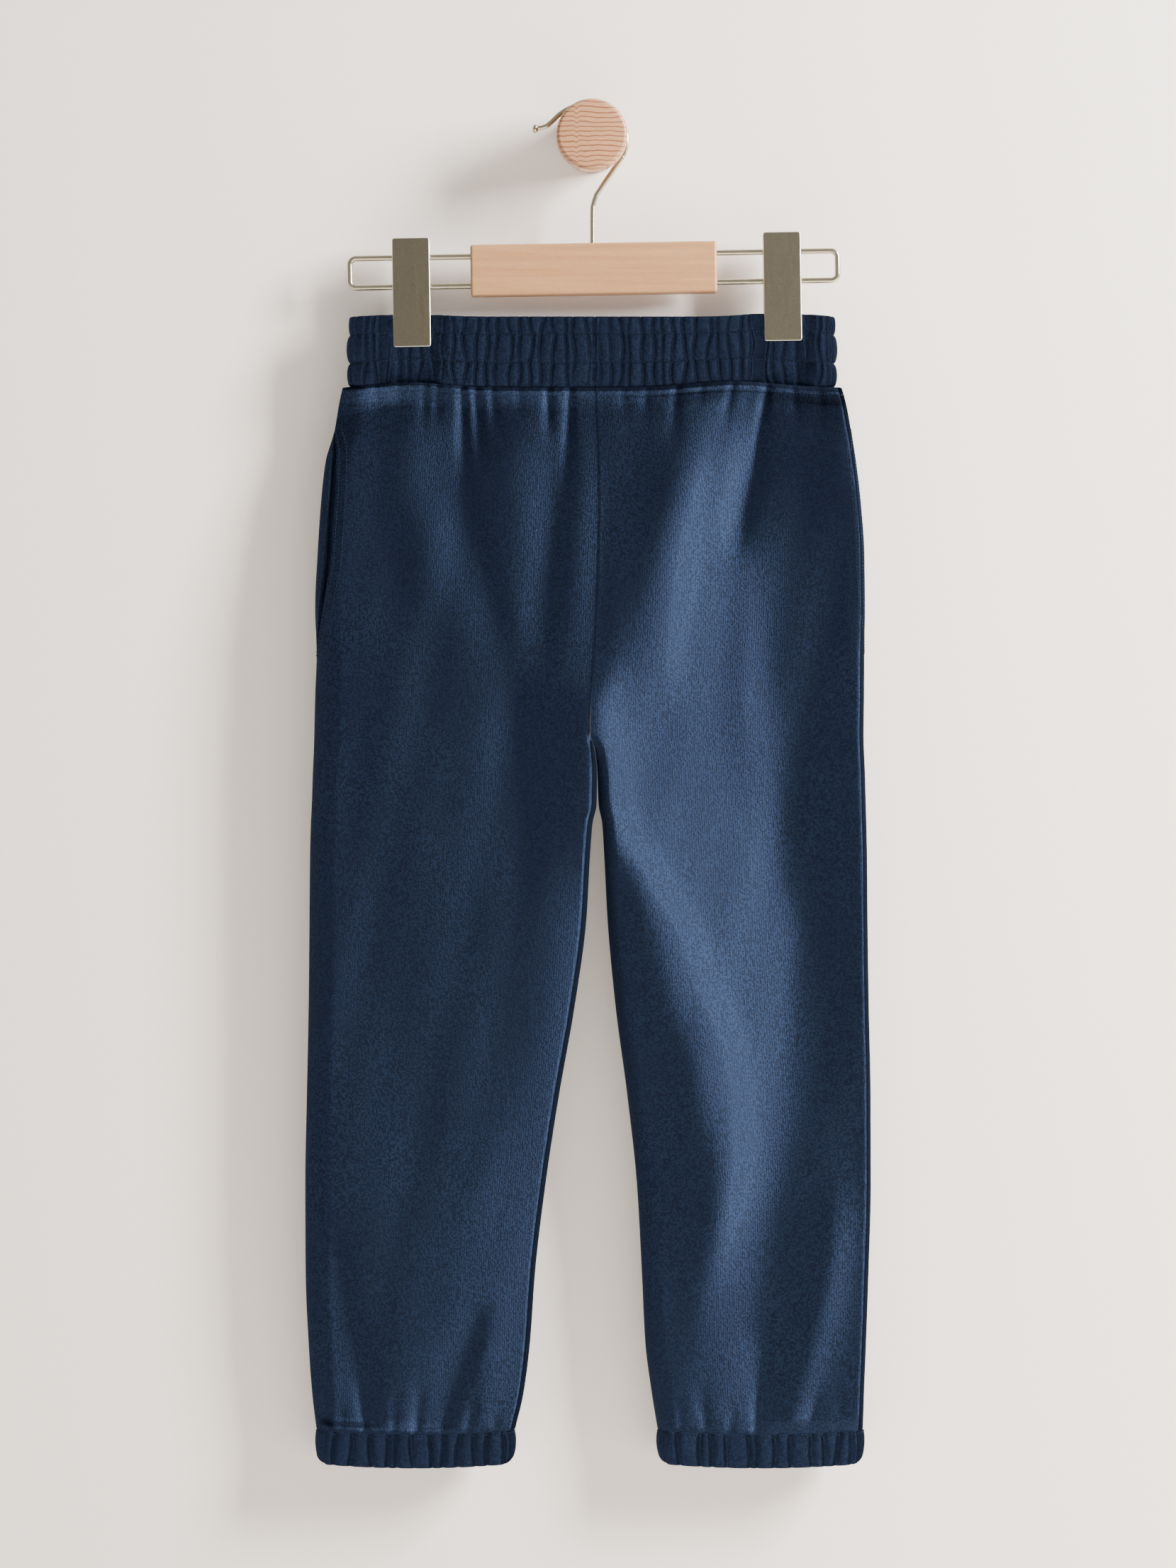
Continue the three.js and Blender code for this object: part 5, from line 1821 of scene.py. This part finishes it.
    def build(self, wood: bpy.types.Material, wire: bpy.types.Material, plate: bpy.types.Material) -> None:
        """Builds the hanger and hands each of its pieces over."""
        hand_over(self.build_bar(), wood, "bar_wood", "hanger_bar")
        hand_over(self.build_hook(), wire, "plated_wire", "hanger_hook")
        for clip in (Clip(Side.LEFT, -102.9), Clip(Side.RIGHT, 106.2)):
            side = clip.side
            hand_over(self.build_loop(side), wire, "plated_wire", f"wire_loop_{side.value}")
            for part, face in (("front", -1), ("back", 1)):
                made = self.settle(clip.plate(part, face))
                hand_over(made, plate, "clip_metal", f"clip_{side.value}_{part}_plate")
            hand_over(self.settle(clip.spring()), wire, "plated_wire", f"clip_{side.value}_spring")


@dataclass
class WallKnob:
    """A turned wooden knob: a neck against the wall and a round head with an eased edge."""

    neck: float = 17.5
    head: float = 20.0
    neck_length: float = 27.0
    length: float = 42.0
    edge: float = 2.4
    crown: float = 0.4

    def profile(self) -> list[tuple[float, float]]:
        """Radius and depth of each turned step, from the neck's front to the middle of the face."""
        behind = self.neck_length
        steps = [(self.neck, behind), (self.head - 1, behind), (self.head, behind + 1)]
        for degrees in range(90, -1, -10):
            angle = math.radians(degrees)
            round_in = self.edge * (1 - math.sin(angle))
            steps.append((self.head - round_in, self.length - self.edge * (1 - math.cos(angle))))
        steps.append((self.head * 0.6, self.length + self.crown / 2))
        steps.append((self.head * 0.2, self.length + self.crown))
        return steps

    def build(self, wood: bpy.types.Material) -> None:
        """Turns the knob by extruding and resizing one disc, and hands it over."""
        deselect()
        bpy.ops.mesh.primitive_circle_add(
            vertices=96, radius=self.neck * MM, fill_type="NGON", rotation=(math.pi / 2, 0, 0)
        )
        knob = settle_new("wall_knob_wood")
        bpy.ops.object.mode_set(mode="EDIT")
        bpy.ops.mesh.select_all(action="SELECT")
        radius = self.neck
        depth = 0.0
        for next_radius, next_depth in self.profile():
            move = (0.0, -(next_depth - depth) * MM, 0.0)
            bpy.ops.mesh.extrude_region_move(TRANSFORM_OT_translate={"value": move})
            scale = next_radius / radius
            centre = (0.0, -next_depth * MM, 0.0)
            bpy.ops.transform.resize(value=(scale, 1.0, scale), center_override=centre)
            radius = next_radius
            depth = next_depth
        bpy.ops.mesh.select_all(action="SELECT")
        bpy.ops.mesh.normals_make_consistent(inside=False)
        bpy.ops.object.mode_set(mode="OBJECT")
        smooth_shading(knob, 35)
        hand_over(knob, wood, "knob_wood", "wall_knob")


# The stage, the light and the camera


@dataclass(frozen=True)
class PanelLight:
    """A soft panel of light at a place in metres, turned to a target."""

    name: str
    place: tuple[float, float, float]
    target: tuple[float, float, float]
    width: float
    height: float
    power: float
    colour: tuple[float, float, float]
    shadows: bool = True

    def build(self, lit: Sequence[bpy.types.Object] = ()) -> None:
        """Hangs the light.

        Args:
            lit: the pieces that it lights, or none for all.
        """
        data = bpy.data.lights.new(self.name, "AREA")
        data.shape = "RECTANGLE"
        data.size = self.width
        data.size_y = self.height
        data.energy = self.power
        data.color = self.colour
        data.use_shadow = self.shadows
        light = put_in_scene(self.name, data)
        light.location = self.place
        towards = np.array(self.target) - np.array(self.place)
        flat = math.hypot(towards[0], towards[1])
        pitch = math.atan2(flat, -towards[2])
        turn = math.atan2(-towards[0], towards[1])
        light.rotation_euler = (pitch, 0.0, turn)
        if lit:
            chosen = bpy.data.collections.new(f"lit_by_{self.name}")
            for piece in lit:
                chosen.objects.link(piece)
            light.light_linking.receiver_collection = chosen


# The three keys in the same warm white: over the back panels, over the waistband and hems, and for the
# rest. The first two cast no shadows, so the cloth is shaded by its slopes alone.
WARM = (1.0, 0.985, 0.96)
PANEL_KEY = PanelLight(
    "panel_key", (1.9, -0.128, -0.1), (0.0, -0.035, -0.4), 0.16, 1.1, 900.0, WARM, shadows=False
)
BAND_KEY = PanelLight(
    "band_key", (1.9, -0.25, 0.35), (0.0, -0.02, -0.38), 0.3, 1.1, 140.0, WARM, shadows=False
)
WALL_KEY = PanelLight("wall_key", (1.7, -0.85, 0.6), (0.0, -0.02, -0.38), 0.5, 1.0, 200.0, WARM)


@dataclass
class Studio:
    """A pale wall and floor, a soft light that grazes the cloth from the right, and the camera."""

    camera_place: tuple[float, float, float] = (-0.0022, -3.02, -0.3643)
    field_height: float = 0.8848
    field_distance: float = 3.0
    sensor: float = 36.0
    floor_z: float = -0.95
    surround: float = 0.5

    def build(self) -> None:
        """Builds the stage, the lights and the camera."""
        self.build_camera()
        self.build_stage()
        self.build_lights()

    def build_camera(self) -> None:
        """Sets the camera level with the middle of the garment, looking at the wall."""
        data = bpy.data.cameras.new("camera")
        data.sensor_width = self.sensor
        data.lens = self.sensor * self.field_distance / self.field_height
        camera = put_in_scene("camera", data)
        camera.location = self.camera_place
        camera.rotation_euler = (math.pi / 2, 0.0, 0.0)
        bpy.context.scene.camera = camera

    def build_stage(self) -> None:
        """Makes the wall behind the knob and the floor below the view."""
        wall_paint = PaintedPlaster("painted_plaster_wall", 0xF5ECE4, True, glow=0.16).make()
        floor_paint = PaintedPlaster("painted_floor", 0xE6E1DC, False).make()
        deselect()
        bpy.ops.mesh.primitive_plane_add(size=8.0, location=(0, 0.0004, 3.0), rotation=(math.pi / 2, 0, 0))
        wall = bpy.context.object
        wall.name = "stage_wall"
        deselect()
        bpy.ops.mesh.primitive_plane_add(size=8.0, location=(0, -3.9, self.floor_z))
        floor = bpy.context.object
        floor.name = "stage_floor"
        for piece, paint in ((wall, wall_paint), (floor, floor_paint)):
            pick(piece)
            bpy.ops.object.transform_apply(location=True, rotation=True, scale=True)
            piece.data.materials.append(paint)

    def build_lights(self) -> None:
        """Sets soft lights on the right, low over the cloth and higher for the rest, and an even surround."""
        pieces = [piece for piece in bpy.context.scene.objects if piece.type == "MESH"]
        panels = [piece for piece in pieces if piece.name.startswith("back_panel") and "cloth" in piece.name]
        bands = [piece for piece in pieces if piece.name.startswith(("waistband_", "hem_"))]
        rest = [piece for piece in pieces if piece not in panels + bands]
        PANEL_KEY.build(panels)
        BAND_KEY.build(bands)
        WALL_KEY.build(rest)
        world = bpy.data.worlds.new("pale_room")
        world.use_nodes = True
        surround = world.node_tree.nodes["Background"]
        surround.inputs["Color"].default_value = linear(0xF2EFEC)
        surround.inputs["Strength"].default_value = self.surround
        bpy.context.scene.world = world


def main() -> None:
    """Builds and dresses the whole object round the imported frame."""
    logging.basicConfig(level=logging.INFO, format="%(name)s: %(message)s")
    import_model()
    deselect()
    # The back and band copies paint shade where the cloth faces the keys; the front copy has none
    fleeces = Fleeces(
        back=KnittedFleece(name="brushed_cotton_fleece_back", turned=0.045, lifted=0.3).make(),
        front=KnittedFleece(name="brushed_cotton_fleece_front").make(),
        bands=KnittedFleece(name="brushed_cotton_fleece_bands", turned=0.3).make(),
    )
    Garment(Trousers(), fleeces, SewingThread().make()).build()
    Hanger().build(BarBeech().make(), PlatedWire().make(), ChampagnePlate().make())
    WallKnob().build(KnobBeech().make())
    Studio().build()
    deselect()
    bpy.context.view_layer.update()


if __name__ == "__main__":
    main()
